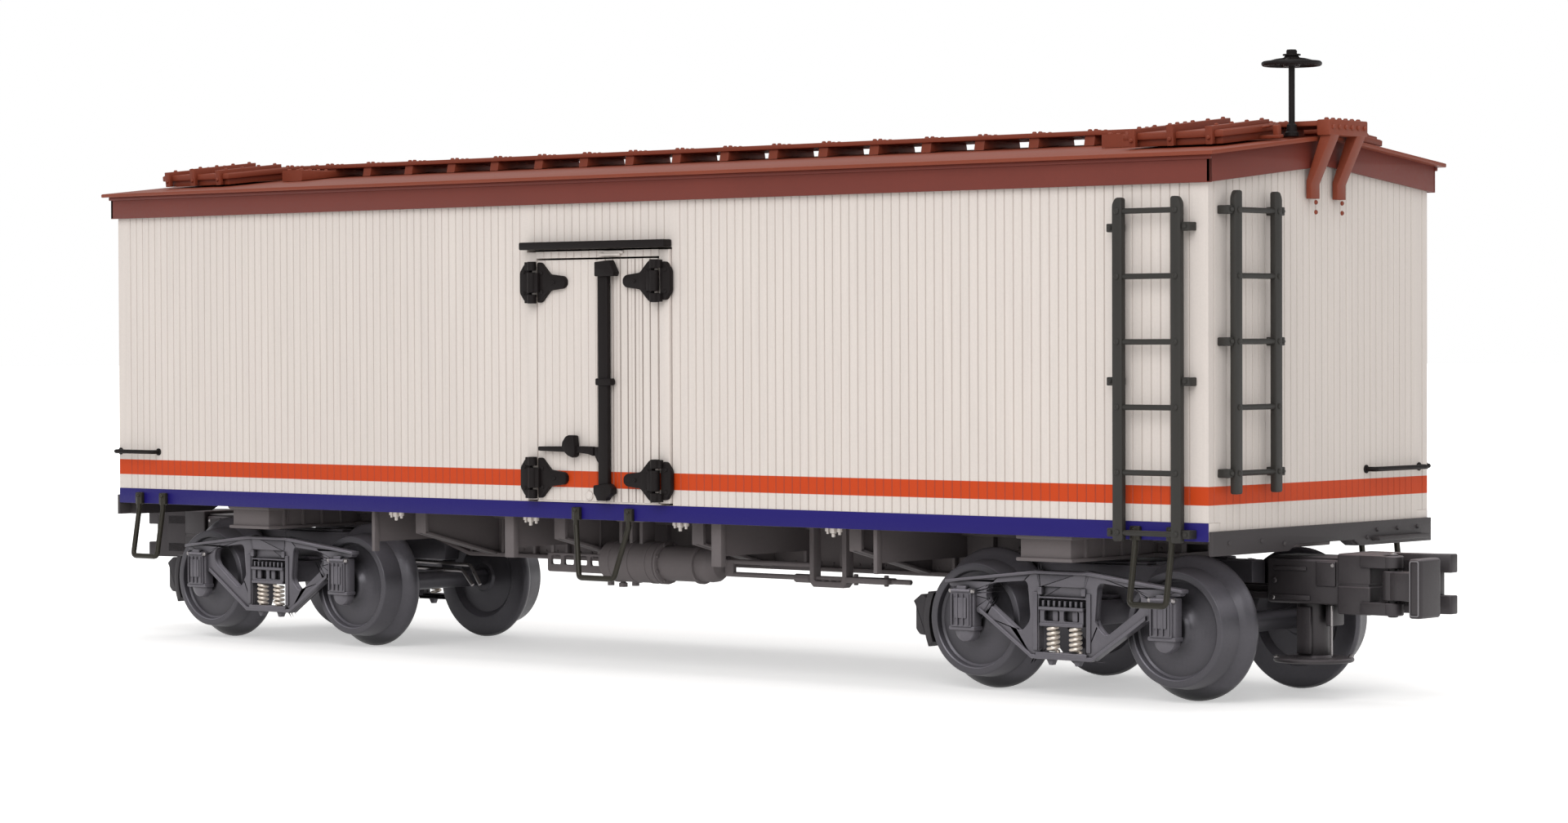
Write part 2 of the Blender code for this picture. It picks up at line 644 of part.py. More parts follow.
def locking_rod():
    """The upright bar on the right leaf, with its keepers and its middle guide, from the leaf's pin."""
    bottom, top = DOORWAY_LOW + SEAM, DOORWAY_TOP - SEAM
    back = -DOOR_FACE_Y - SEAM
    front = back - ROD_THICKNESS
    bar = block((ROD_X - ROD_WIDTH / 2, ROD_X + ROD_WIDTH / 2), (front, back),
                (bottom + KEEPER_HEIGHT / 2, top - KEEPER_HEIGHT / 2))
    keepers = []
    for low in (bottom + OVERLAP, top - KEEPER_HEIGHT - OVERLAP):
        wide, narrow = KEEPER_WIDTH, ROD_WIDTH
        left = ROD_X - narrow / 2 - OVERLAP
        loop = [(left, low), (left + narrow, low), (left + wide, low + KEEPER_HEIGHT / 2),
                (left + narrow + OVERLAP, low + KEEPER_HEIGHT), (left, low + KEEPER_HEIGHT)]
        keepers.append(outline([loop], "Y", front - ROD_THICKNESS / 2, back - OVERLAP))
    guide_z = DOORWAY_LOW + GUIDE_RISE
    guide = block((ROD_X - ROD_WIDTH / 2 - OVERLAP, ROD_X + KEEPER_WIDTH / 2),
                  (front - OVERLAP, back - OVERLAP), (guide_z - ROD_WIDTH / 3, guide_z + ROD_WIDTH / 3))
    return moved(union(bar, guide, *keepers), Matrix.Translation((-PIN_X, PIN_Y, 0)))


def door_handle():
    """The handle in its latch on the left leaf, from that leaf's pin."""
    height = hinge_heights()[0] + HINGE_HEIGHT / 2 + HANDLE_GAP + HANDLE_THICKNESS / 2
    end = HANDLE_INSET - PIN_X
    back = -DOOR_FACE_Y - SEAM
    loop = [(-SEAM, height - 0.9 * HANDLE_THICKNESS), (-SEAM, height + HANDLE_THICKNESS / 2),
            (end, height + HANDLE_THICKNESS / 2), (end, height - HANDLE_THICKNESS / 2),
            (-HANDLE_THICKNESS * 2, height - HANDLE_THICKNESS / 2)]
    bar = outline([loop], "Y", back - HANDLE_THICKNESS, back - OVERLAP)
    half = LATCH_SIZE / 2
    latch = outline([[(-LATCH_X + u * half, height + v * half) for u, v in (
        (-0.5, -0.7), (0.4, -1.1), (1, -0.3), (0.9, 1.2), (-0.3, 1.3), (-1, 0.6), (-1, -0.2))]],
        "Y", back - 1.5 * HANDLE_THICKNESS, back)
    return moved(union(bar, latch), Matrix.Translation((PIN_X, PIN_Y, 0)))


def drip_rail():
    """The rail over the doorway that sheds water from the roof."""
    low = CASING_TOP + SEAM
    back = -HALF_WIDTH - SEAM
    half = CASING_HALF + DRIP_OVERHANG
    return block((-half, half), (back - DRIP_DEPTH, back), (low, low + DRIP_HEIGHT))


def end_wall():
    """The gabled wall of the +X end, between the side walls."""
    half = HALF_WIDTH - WALL - SEAM
    low = SILL_Z + END_WALL_RAISE
    under = ROOF_SHEET + SEAM
    half_loop = [(0, roof_height(0) - under), (half, roof_height(half) - under), (half, low)]
    loop = half_loop + [(-u, v) for u, v in reversed(half_loop[1:])]
    return outline([loop], "X", HALF_LENGTH - WALL, HALF_LENGTH)


def floor():
    half_x = HALF_LENGTH - WALL - SEAM
    half_y = HALF_WIDTH - WALL - SEAM
    return block((-half_x, half_x), (-half_y, half_y), (SILL_Z, SILL_Z + FLOOR_THICKNESS))


def gable_loop(half, low, drop):
    """A loop with a level or sloping bottom under a gable that lies drop below the roof's top."""
    return [(0, roof_height(0) - drop), (half, roof_height(half) - drop), (half, low),
            (0, low + ROOF_SLOPE * half), (-half, low), (-half, roof_height(half) - drop)]


def roof():
    """The gabled sheet with a fascia all round under it."""
    skirt = outline([gable_loop(FASCIA_Y, FASCIA_LOW, ROOF_SHEET / 2)], "X", -FASCIA_X, FASCIA_X)
    inside = outline([gable_loop(FASCIA_Y - FASCIA_THICKNESS, FASCIA_LOW - FASCIA_DEPTH, ROOF_SHEET)], "X",
                     -FASCIA_X + FASCIA_THICKNESS, FASCIA_X - FASCIA_THICKNESS)
    half = ROOF_HALF_WIDTH
    top = [(-half, roof_height(half)), (0, roof_height(0)), (half, roof_height(half))]
    sheet = outline([top + [(u, v - ROOF_SHEET) for u, v in reversed(top)]], "X",
                    -ROOF_HALF_LENGTH, ROOF_HALF_LENGTH)
    return union(cut(skirt, inside), sheet)


def running_board():
    """The board along the ridge on its saddles, with the braces at both ends."""
    low = BOARD_Z - BOARD_THICKNESS
    half = BOARD_HALF_LENGTH
    board = block((-half, half), (-BOARD_WIDTH / 2, BOARD_WIDTH / 2), (low, BOARD_Z))
    wide_x = HATCH_X - HATCH_LENGTH / 2 - COVER_LIP - WIDE_SADDLE_GAP - WIDE_SADDLE_LENGTH / 2
    count = int(2 * HALF_LENGTH / SADDLE_PITCH)
    pieces = []
    for index in range(count):
        middle = (index - (count - 1) / 2) * SADDLE_PITCH
        if abs(abs(middle) - wide_x) > (WIDE_SADDLE_LENGTH + SADDLE_LENGTH) / 2:
            pieces.append(outline([saddle_loop(BOARD_WIDTH / 2 - SADDLE_INSET, low + OVERLAP)], "X",
                                  middle - SADDLE_LENGTH / 2, middle + SADDLE_LENGTH / 2))
    for end in (-1, 1):
        wide_top = roof_height(WIDE_SADDLE_HALF_WIDTH) + WIDE_SADDLE_HEIGHT
        for half_width, high, length in ((WIDE_SADDLE_HALF_WIDTH, wide_top, WIDE_SADDLE_LENGTH),
                                         (BOARD_WIDTH / 2 - SADDLE_INSET, low + OVERLAP, SADDLE_LENGTH)):
            pieces.append(outline([saddle_loop(half_width, high)], "X",
                                  end * wide_x - length / 2, end * wide_x + length / 2))
        pieces.append(block(sorted((end * (half - END_CLEAT_LENGTH), end * (half + OVERLAP))),
                            (-BOARD_WIDTH / 2 - OVERLAP, BOARD_WIDTH / 2 + OVERLAP),
                            (BOARD_Z - END_CLEAT_DEPTH, BOARD_Z + OVERLAP)))
        pieces += [end_brace(end, side) for side in (-1, 1)]
    return union(board, *pieces)


def saddle_loop(half, top):
    """A saddle with its underside on the two slopes of the roof."""
    return [(-half, top), (half, top), (half, roof_height(half) + SEAM), (0, roof_height(0) + SEAM),
            (-half, roof_height(half) + SEAM)]


def end_brace(end, side):
    """A bent strap from under the running board to the end wall."""
    wall = HALF_LENGTH + SEAM
    reach = BOARD_HALF_LENGTH - BRACE_THICKNESS
    bend = FASCIA_LOW + ROOF_SLOPE * (FASCIA_Y - BRACE_Y) - BRACE_DROP
    foot, top = bend - BRACE_FOOT, BOARD_Z - END_CLEAT_DEPTH + OVERLAP
    inner = [(wall, foot), (wall, bend), (reach - BRACE_THICKNESS, top)]
    outer = [(reach + BRACE_THICKNESS, top), (wall + BRACE_THICKNESS, bend - BRACE_THICKNESS / 2),
             (wall + BRACE_THICKNESS, foot)]
    loop = [(end * u, v) for u, v in inner + outer]
    return outline([loop], "Y", side * BRACE_Y - BRACE_WIDTH / 2, side * BRACE_Y + BRACE_WIDTH / 2)


def hatch(side):
    """An ice hatch of the +X end: curb, cover, battens with turned-down ends, and hasp."""
    u0, u1 = HATCH_X - HATCH_LENGTH / 2, HATCH_X + HATCH_LENGTH / 2
    v0, v1 = HATCH_NEAR, HATCH_NEAR + HATCH_WIDTH
    cover_low = SEAM + CURB_HEIGHT
    cover_top = cover_low + COVER_THICKNESS
    curb = block((u0, u1), (v0, v1), (SEAM, cover_low + OVERLAP))
    cover = block((u0 - COVER_LIP, u1 + COVER_LIP), (v0 - COVER_LIP, v1 + COVER_LIP), (cover_low, cover_top))
    pieces = [cover]
    tip = v1 + COVER_LIP
    for index in (-1, 0, 1):
        middle = HATCH_X + index * BATTEN_SPREAD
        span = (middle - BATTEN_WIDTH / 2, middle + BATTEN_WIDTH / 2)
        near, far = v0 - COVER_LIP / 2, tip + BATTEN_HEIGHT
        high = cover_top + BATTEN_HEIGHT * (1.6 if index == 0 else 1)
        loop = [(near, cover_top - OVERLAP), (tip - OVERLAP, cover_top - OVERLAP), (tip - OVERLAP, SEAM),
                (far, SEAM), (far, high), (near, high)]
        pieces.append(outline([loop], "X", *span))
    hasp_v = v0 + HATCH_WIDTH / 4
    hasp_span = (hasp_v - HASP_WIDTH / 2, hasp_v + HASP_WIDTH / 2)
    hasp_end = u1 + HASP_LENGTH
    pieces.append(block((u1 - OVERLAP, hasp_end), hasp_span, (SEAM, SEAM + CURB_HEIGHT / 2)))
    pieces.append(block((hasp_end - HASP_WIDTH, hasp_end - OVERLAP),
                        (hasp_span[0] + OVERLAP, hasp_span[1] - OVERLAP), (SEAM + OVERLAP, cover_top)))
    piece = union(curb, *pieces)
    if side < 0:
        moved(piece, Matrix.Scale(-1, 4, (0, 1, 0)))
    slope = Matrix.Rotation(-side * math.atan(ROOF_SLOPE), 4, "X")
    return moved(piece, Matrix.Translation((0, 0, RIDGE_Z)) @ slope)


def brake_staff():
    """The staff with its handwheel, standing on a foot beside the running board."""
    base = roof_height(STAFF_Y) + SEAM
    foot = cylinder((STAFF_X, -STAFF_Y, base + ROOF_SLOPE * STAFF_FOOT_RADIUS),
                    (STAFF_X, -STAFF_Y, base + STAFF_FOOT_HEIGHT), STAFF_FOOT_RADIUS, 8)
    staff = cylinder((STAFF_X, -STAFF_Y, base + STAFF_FOOT_HEIGHT / 2), (STAFF_X, -STAFF_Y, STAFF_TOP),
                     STAFF_RADIUS, SMALL_STEPS)
    wheel_z = STAFF_TOP - HANDWHEEL_DROP
    rise = 2 * HANDWHEEL_RIM
    hub = cylinder((STAFF_X, -STAFF_Y, wheel_z - HANDWHEEL_RIM), (STAFF_X, -STAFF_Y, wheel_z + 2 * rise),
                   3 * STAFF_RADIUS, 8)
    ring_steps = 5
    ring = turned([(HANDWHEEL_RADIUS - HANDWHEEL_RIM * (1 - math.sin(a)), HANDWHEEL_RIM * math.cos(a))
                   for a in [2 * math.pi * i / ring_steps for i in range(ring_steps)] + [0.0]], 16)
    moved(ring, Matrix.Translation((STAFF_X, -STAFF_Y, wheel_z)))
    spokes = []
    for index in range(SPOKES):
        angle = 2 * math.pi * index / SPOKES
        reach = HANDWHEEL_RADIUS - HANDWHEEL_RIM
        tip = (STAFF_X + reach * math.cos(angle), -STAFF_Y + reach * math.sin(angle), wheel_z)
        spokes.append(cylinder((STAFF_X, -STAFF_Y, wheel_z + rise), tip, HANDWHEEL_RIM * 0.8, SMALL_STEPS))
    nut = cylinder((STAFF_X, -STAFF_Y, STAFF_TOP - rise), (STAFF_X, -STAFF_Y, STAFF_TOP + rise / 2),
                   2 * STAFF_RADIUS, SMALL_STEPS)
    return union(staff, foot, hub, ring, *spokes, nut)


def ladder(foot, horn, low_bar):
    """A ladder centred on x = 0 in front of a wall whose face is y = 0."""
    half = LADDER_WIDTH / 2
    back = -LADDER_STANDOFF
    front = back - STILE_THICKNESS
    bottom, top = LOW_RUNG - foot, TOP_RUNG + horn
    round_off = STILE_WIDTH / 3
    lowest = bottom + BRACKET_SIZE if low_bar else LOW_RUNG
    brackets = (TOP_RUNG - RUNG_PITCH / 4, (TOP_RUNG + LOW_RUNG) / 2 - RUNG_PITCH * 0.6, lowest)
    stiles = []
    pieces = []
    for side in (-1, 1):
        inner, outer = side * (half - STILE_WIDTH), side * half
        loop = [(inner, bottom), (outer, bottom), (outer, top - round_off), (outer - side * round_off, top),
                (inner + side * round_off, top), (inner, top - round_off)]
        stiles.append(outline([loop], "Y", front, back))
        for height in brackets:
            pieces.append(block(sorted((outer - side * STILE_WIDTH / 2, outer + side * BRACKET_SIZE)),
                                (front + OVERLAP, -SEAM),
                                (height - BRACKET_SIZE / 2, height + BRACKET_SIZE / 2)))
    middle = back - STILE_THICKNESS / 2
    rungs = [TOP_RUNG - index * RUNG_PITCH for index in range(RUNG_COUNT)]
    for height in rungs + ([lowest] if low_bar else []):
        reach = half - STILE_WIDTH / 2
        pieces.append(cylinder((-reach, middle, height), (reach, middle, height), RUNG_RADIUS, SMALL_STEPS))
    return union(*stiles, *pieces)


def grab_iron(length):
    """A straight handhold centred on x = 0 in front of a wall whose face is y = 0."""
    half = length / 2
    return rod([(-half, -SEAM, 0), (-half, -GRAB_STANDOFF, 0), (half, -GRAB_STANDOFF, 0), (half, -SEAM, 0)],
               GRAB_RADIUS)


def sill_step(half_top, half_tread):
    """A stirrup step centred on x = 0: pads on the sill board and legs that lean out to the tread."""
    y = -HALF_WIDTH - STEP_ROD_RADIUS - SEAM
    outer = y - STEP_LEAN
    top, shoulder, tread = SILL_Z + STEP_TOP, SILL_Z - STEP_SHOULDER, SILL_Z - STEP_DROP
    half = [(half_top, y, top), (half_top, y, shoulder), (half_tread, outer, tread)]
    step = rod(half + [(-u, v, w) for u, v, w in reversed(half)], STEP_ROD_RADIUS)
    pads = []
    for side in (-1, 1):
        pads.append(block((side * half_top - 2 * STEP_ROD_RADIUS, side * half_top + 2 * STEP_ROD_RADIUS),
                          (y - OVERLAP, -HALF_WIDTH - SEAM), (top - 4 * STEP_ROD_RADIUS, top + OVERLAP)))
    return union(step, *pads)


def belly_line(half, raised):
    """The underside of the centre sill from +X to -X: shallow over the trucks, deep between them."""
    shallow, belly = SILL_Z - SHALLOW_DEPTH + raised, SILL_Z - BELLY_DEPTH + raised
    line = [(half, shallow), (BELLY_HALF_LENGTH + BELLY_SLOPE, shallow), (BELLY_HALF_LENGTH, belly)]
    return line + [(-u, v) for u, v in reversed(line)]


def underframe():
    """The fish-bellied centre sill with the body bolsters and cross bearers."""
    top = SILL_Z - SEAM
    shallow, belly = SILL_Z - SHALLOW_DEPTH, SILL_Z - BELLY_DEPTH
    half = TRUCK_X + SILL_REACH
    line = belly_line(half, 0)
    pieces = [outline([line + [(u, v + SILL_FLANGE) for u, v in reversed(line)]], "Y",
                      -SILL_FLANGE_HALF, SILL_FLANGE_HALF)]
    half -= SILL_FLANGE
    reach = HALF_LENGTH - WALL
    pieces.append(block((-reach, reach), (-SILL_FLANGE_HALF + SEAM, SILL_FLANGE_HALF - SEAM),
                        (SILL_Z - DRAFT_DEPTH, top - OVERLAP / 4)))
    web = outline([[(-half, top), (half, top)] + belly_line(half, OVERLAP)], "Y",
                  -CENTRE_SILL_HALF, CENTRE_SILL_HALF)
    for x in (-BEARER_OUTER_X, -BEARER_INNER_X, BEARER_INNER_X, BEARER_OUTER_X):
        half_loop = [(BEARER_HALF, top - OVERLAP / 2), (BEARER_HALF, SILL_Z - BEARER_END_DEPTH),
                     (SILL_FLANGE_HALF - OVERLAP, belly + SILL_FLANGE / 2)]
        pieces.append(outline([mirrored_loop(half_loop)], "X", x - BEARER_LENGTH / 2, x + BEARER_LENGTH / 2))
    bolster_half = HALF_WIDTH - BODY_BOLSTER_INSET
    for x in (-TRUCK_X, TRUCK_X):
        pieces.append(block((x - BODY_BOLSTER_LENGTH / 2, x + BODY_BOLSTER_LENGTH / 2),
                            (-bolster_half, bolster_half), (shallow + OVERLAP, top - OVERLAP / 2)))
        pieces.append(cylinder((x, 0, shallow - OVERLAP * 2), (x, 0, shallow + OVERLAP * 3),
                               CENTRE_PLATE_RADIUS))
    return union(web, *pieces)


def end_sill():
    """The beam under the +X end wall, notched over the coupler, with a foot plate."""
    face = HALF_LENGTH + END_SILL_PROUD
    high, low = SILL_Z + END_WALL_RAISE - SEAM, SILL_Z - END_SILL_DEPTH
    half = HALF_WIDTH - WALL - SEAM
    notch = SILL_Z - COUPLER_NOTCH_DEPTH
    slope = END_SILL_DEPTH
    half_loop = [(half, high), (half, low), (COUPLER_NOTCH_HALF + slope, low), (COUPLER_NOTCH_HALF, notch)]
    beam = outline([mirrored_loop(half_loop)], "X", HALF_LENGTH - WALL + SEAM, face)
    plate_y, plate_z = HALF_WIDTH - FOOT_PLATE_INSET, SILL_Z - FOOT_PLATE_DEPTH
    plate = block((face - OVERLAP, face + FOOT_PLATE_DEPTH),
                  (plate_y - FOOT_PLATE_LENGTH / 2, plate_y + FOOT_PLATE_LENGTH / 2),
                  (plate_z, plate_z + FOOT_PLATE_THICKNESS))
    return union(beam, plate)


def brake_cylinder():
    """The reservoir, the brake cylinder and its head in line, on a foot under the floor."""
    start, end = -BRAKE_HALF_LENGTH, BRAKE_HALF_LENGTH
    joint, head = start + RESERVOIR_LENGTH, end - BRAKE_HEAD_LENGTH
    edge = RESERVOIR_RADIUS / 4
    stations = [(start, 0), (start, RESERVOIR_RADIUS / 2), (start + edge, RESERVOIR_RADIUS),
                (joint - edge, RESERVOIR_RADIUS), (joint - edge / 2, CYLINDER_FLANGE),
                (joint + edge / 2, CYLINDER_FLANGE), (joint + edge, CYLINDER_RADIUS), (head, CYLINDER_RADIUS),
                (head + edge / 2, BRAKE_HEAD_RADIUS / 2), (head + edge, BRAKE_HEAD_RADIUS),
                (end - edge, BRAKE_HEAD_RADIUS), (end, BRAKE_HEAD_RADIUS / 2), (end, 0)]
    body = moved(turned([(radius, -x) for x, radius in stations], 16), Matrix.Rotation(-math.pi / 2, 4, "Y"))
    moved(body, Matrix.Translation((0, -BRAKE_Y, SILL_Z - BRAKE_DEPTH)))
    foot_x = (start + joint) / 2
    foot = block((foot_x - BRAKE_FOOT_LENGTH / 2, foot_x + BRAKE_FOOT_LENGTH / 2),
                 (-BRAKE_Y - BRAKE_FOOT_WIDTH / 2, -BRAKE_Y + BRAKE_FOOT_WIDTH / 2),
                 (SILL_Z - BRAKE_DEPTH, SILL_Z - SEAM))
    return union(body, foot)


def valve_bracket():
    """The windowed bracket beside the reservoir, under the cross bearer."""
    end = -BRAKE_HALF_LENGTH - VALVE_GAP
    start = end - VALVE_LENGTH
    low = SILL_Z - VALVE_DROP
    high = low + VALVE_HEIGHT
    width = (VALVE_LENGTH - VALVE_BAR) / VALVE_WINDOWS
    loops = [[(start, low), (end, low), (end, high), (start, high)]]
    for index in range(VALVE_WINDOWS):
        x0 = start + VALVE_BAR + index * width
        x1 = x0 + width - VALVE_BAR
        loops.append([(x0, low + VALVE_BAR * 1.5), (x1, low + VALVE_BAR * 1.5), (x1, high - VALVE_BAR / 2),
                      (x0, high - VALVE_BAR / 2)])
    return outline(loops, "Y", -BRAKE_Y - VALVE_THICKNESS / 2, -BRAKE_Y + VALVE_THICKNESS / 2)


def brake_rigging():
    """The pull rods with the loop that they hang in, and the lever beside it."""
    end = TRUCK_X - WHEELBASE / 2 - FLANGE_RADIUS - PULL_ROD_MARGIN
    room = BEARER_OUTER_X - BEARER_INNER_X
    x0, x1 = BEARER_INNER_X + room * HANGER_START_SHARE, BEARER_INNER_X + room * HANGER_END_SHARE
    low, top = SILL_Z - HANGER_DROP, SILL_Z - SEAM
    t = HANGER_THICKNESS
    outer = [(x0, top), (x0, low + t), (x0 + t, low), (x1 - t, low), (x1, low + t), (x1, top)]
    inner = [(x0 + t, top - t), (x0 + t, low + t), (x1 - t, low + t), (x1 - t, top - t)]
    hanger = outline([outer, inner], "Y", -BRAKE_Y - t, -BRAKE_Y + t)
    upper = SILL_Z - PULL_ROD_DROP
    lower = upper - PULL_ROD_SPREAD
    start = BRAKE_HALF_LENGTH + SEAM
    pieces = []
    for height, reach in ((upper, x0 + t / 2), (lower, end)):
        pieces.append(cylinder((start, -BRAKE_Y, height), (reach, -BRAKE_Y, height), ROD_RADIUS, SMALL_STEPS))
    pieces.append(block((x1 - OVERLAP, x1 + (end - x1) * LEVER_SHARE),
                        (-BRAKE_Y - LEVER_WIDTH / 2, -BRAKE_Y + LEVER_WIDTH / 2),
                        (lower - t / 2, lower + t / 2)))
    pieces.append(block((start, start + 2 * t), (-BRAKE_Y - t / 2, -BRAKE_Y + t / 2), (lower, upper)))
    return union(hanger, *pieces)


def wheelset():
    """Two flanged wheels on their axle, turned about Y."""
    flange_out = FLANGE_FACE_Y
    back = flange_out - FLANGE_WIDTH
    face = RIM_FACE_Y
    bore = RIM_RADIUS - RIM_THICKNESS
    half = [(0, JOURNAL_END_Y), (JOURNAL_RADIUS, JOURNAL_END_Y - JOURNAL_RADIUS / 2),
            (JOURNAL_RADIUS, face + SEAM), (HUB_RADIUS, face), (HUB_RADIUS, face - RIM_THICKNESS / 2),
            (bore, face - RIM_THICKNESS), (bore, face), (RIM_RADIUS, face), (TREAD_RADIUS, flange_out),
            (FLANGE_RADIUS, flange_out - SEAM * 3), (FLANGE_RADIUS, back + SEAM), (TREAD_RADIUS, back),
            (AXLE_RADIUS, back)]
    profile = half + [(radius, -height) for radius, height in reversed(half)]
    piece = turned(profile, ROUND_STEPS, math.pi / ROUND_STEPS)
    return moved(piece, Matrix.Rotation(math.pi / 2, 4, "X"))


def side_frame():
    """The right-hand side frame of a truck, about the truck's centre, with the springs on its seat."""
    top, low = AXLE_Z + FRAME_TOP, AXLE_Z - FRAME_BOTTOM
    half = FRAME_HALF_LENGTH
    axle = WHEELBASE / 2
    box_inner = axle - BOX_LENGTH / 2
    arch = [(half * i / 4, top - CHORD_RISE * (i / 4) ** 2) for i in range(5)]
    tip = (half, top - CHORD_RISE - CHORD_DEPTH)
    knee = (box_inner + OVERLAP, AXLE_Z + BOX_RISE - BOX_HEIGHT * 0.2)
    seat = (SEAT_HALF_LENGTH + COLUMN_WIDTH / 3, low)
    right = arch + [tip, (box_inner + OVERLAP, tip[1] - CHORD_DEPTH), knee, seat]
    web_loop = right + [(-u, v) for u, v in reversed(right[1:])]
    window_x = BOLSTER_WINDOW_HALF + COLUMN_WIDTH
    window_top = top - CHORD_RISE * 0.1 - CHORD_DEPTH * 1.2
    bar = CHORD_DEPTH * 1.4
    window = [(window_x, window_top), (box_inner - bar, window_top - CHORD_RISE * 0.42),
              (box_inner - bar, knee[1] + bar * 1.1), (window_x + COLUMN_WIDTH * 1.4, AXLE_Z - COLUMN_WIDTH),
              (window_x, AXLE_Z + COLUMN_WIDTH / 2)]
    seat_top = low + SEAT_THICKNESS
    bolster_window = [(-BOLSTER_WINDOW_HALF, seat_top), (BOLSTER_WINDOW_HALF, seat_top),
                      (BOLSTER_WINDOW_HALF, AXLE_Z + BOLSTER_WINDOW_TOP),
                      (-BOLSTER_WINDOW_HALF, AXLE_Z + BOLSTER_WINDOW_TOP)]
    face, back = -FRAME_FACE_Y, -FRAME_FACE_Y + FRAME_THICKNESS
    frame = outline([web_loop, window, [(-u, v) for u, v in window], bolster_window], "Y", face, back)
    edge = [(-u, v) for u, v in reversed(arch[1:])] + arch
    chord = edge + [(u, v - CHORD_DEPTH) for u, v in reversed(edge)]
    pieces = [outline([chord], "Y", face - FRAME_RIB, back + FRAME_RIB / 2)]
    lower = [knee, seat, (-seat[0], seat[1]), (-knee[0], knee[1])]
    lower_loop = lower + [(u, v + CHORD_DEPTH) for u, v in reversed(lower)]
    pieces.append(outline([lower_loop], "Y", face - FRAME_RIB, back + FRAME_RIB / 4))
    for side in (-1, 1):
        middle = AXLE_Z + BOX_RISE - BOX_HEIGHT / 2 + BOX_LENGTH / 2
        pieces.append(block((side * axle - BOX_LENGTH / 2, side * axle + BOX_LENGTH / 2), (-BOX_FACE_Y, back),
                            (middle - BOX_LENGTH / 2, middle - BOX_LENGTH / 2 + BOX_HEIGHT)))
        pieces.append(spring(side * SPRING_SPREAD, seat_top - OVERLAP,
                             AXLE_Z + BOLSTER_WINDOW_TOP - BOLSTER_DEPTH - 2 * SEAM))
    frame = union(frame, *pieces)
    bores = [cylinder((side * axle, -JOURNAL_END_Y - BEARING_GAP, AXLE_Z), (side * axle, 0, AXLE_Z),
                      JOURNAL_RADIUS + BEARING_GAP, SMALL_STEPS) for side in (-1, 1)]
    return cut(frame, *bores)


def spring(x, low, high):
    """A close coil as a ribbed post."""
    pitch = (high - low) / SPRING_TURNS
    profile = [(0, high)]
    for turn in range(SPRING_TURNS):
        profile += [(SPRING_RADIUS - SPRING_WIRE, high - turn * pitch),
                    (SPRING_RADIUS, high - (turn + 0.5) * pitch)]
    profile += [(SPRING_RADIUS - SPRING_WIRE, low), (0, low)]
    y = -FRAME_FACE_Y + FRAME_THICKNESS / 2
    return moved(turned(profile, SMALL_STEPS), Matrix.Translation((x, y, 0)))


def truck_bolster():
    """The cross beam through both side frames, with its centre plate and pocketed ends."""
    top = AXLE_Z + BOLSTER_WINDOW_TOP - SEAM
    low = top - BOLSTER_DEPTH + SEAM
    half_x = BOLSTER_WINDOW_HALF - SEAM
    half_y = FRAME_FACE_Y + FRAME_RIB
    beam = block((-half_x, half_x), (-half_y, half_y), (low, top))
    plate_top = SILL_Z - SHALLOW_DEPTH - 2 * OVERLAP - SEAM
    plate = cylinder((0, 0, top - OVERLAP), (0, 0, plate_top), CENTRE_PLATE_RADIUS)
    pockets = []
    for side in (-1, 1):
        for way in (-1, 1):
            x = way * half_x / 2
            pockets.append(block((x - half_x * 0.36, x + half_x * 0.36),
                                 sorted((side * (half_y - FRAME_RIB), side * (half_y + SEAM))),
                                 (low + BOLSTER_DEPTH * 0.2, low + BOLSTER_DEPTH * 0.7)))
    return cut(union(beam, plate), *pockets)


def eye_and_tongue(length):
    """The loops of a flat tongue that starts in an eye round the centre plate."""
    inner = CENTRE_PLATE_RADIUS + SEAM
    outer = inner + TONGUE_EYE
    half = TONGUE_WIDTH / 2
    start = math.asin(half / outer)
    steps = 14
    arc = [start + (2 * math.pi - 2 * start) * i / steps for i in range(steps + 1)]
    ring = [(outer * math.cos(a), outer * math.sin(a)) for a in arc]
    hole = [(inner * math.cos(2 * math.pi * i / 16), inner * math.sin(2 * math.pi * i / 16)) for i in range(16)]
    return [ring + [(length, -half), (length, half)], hole]


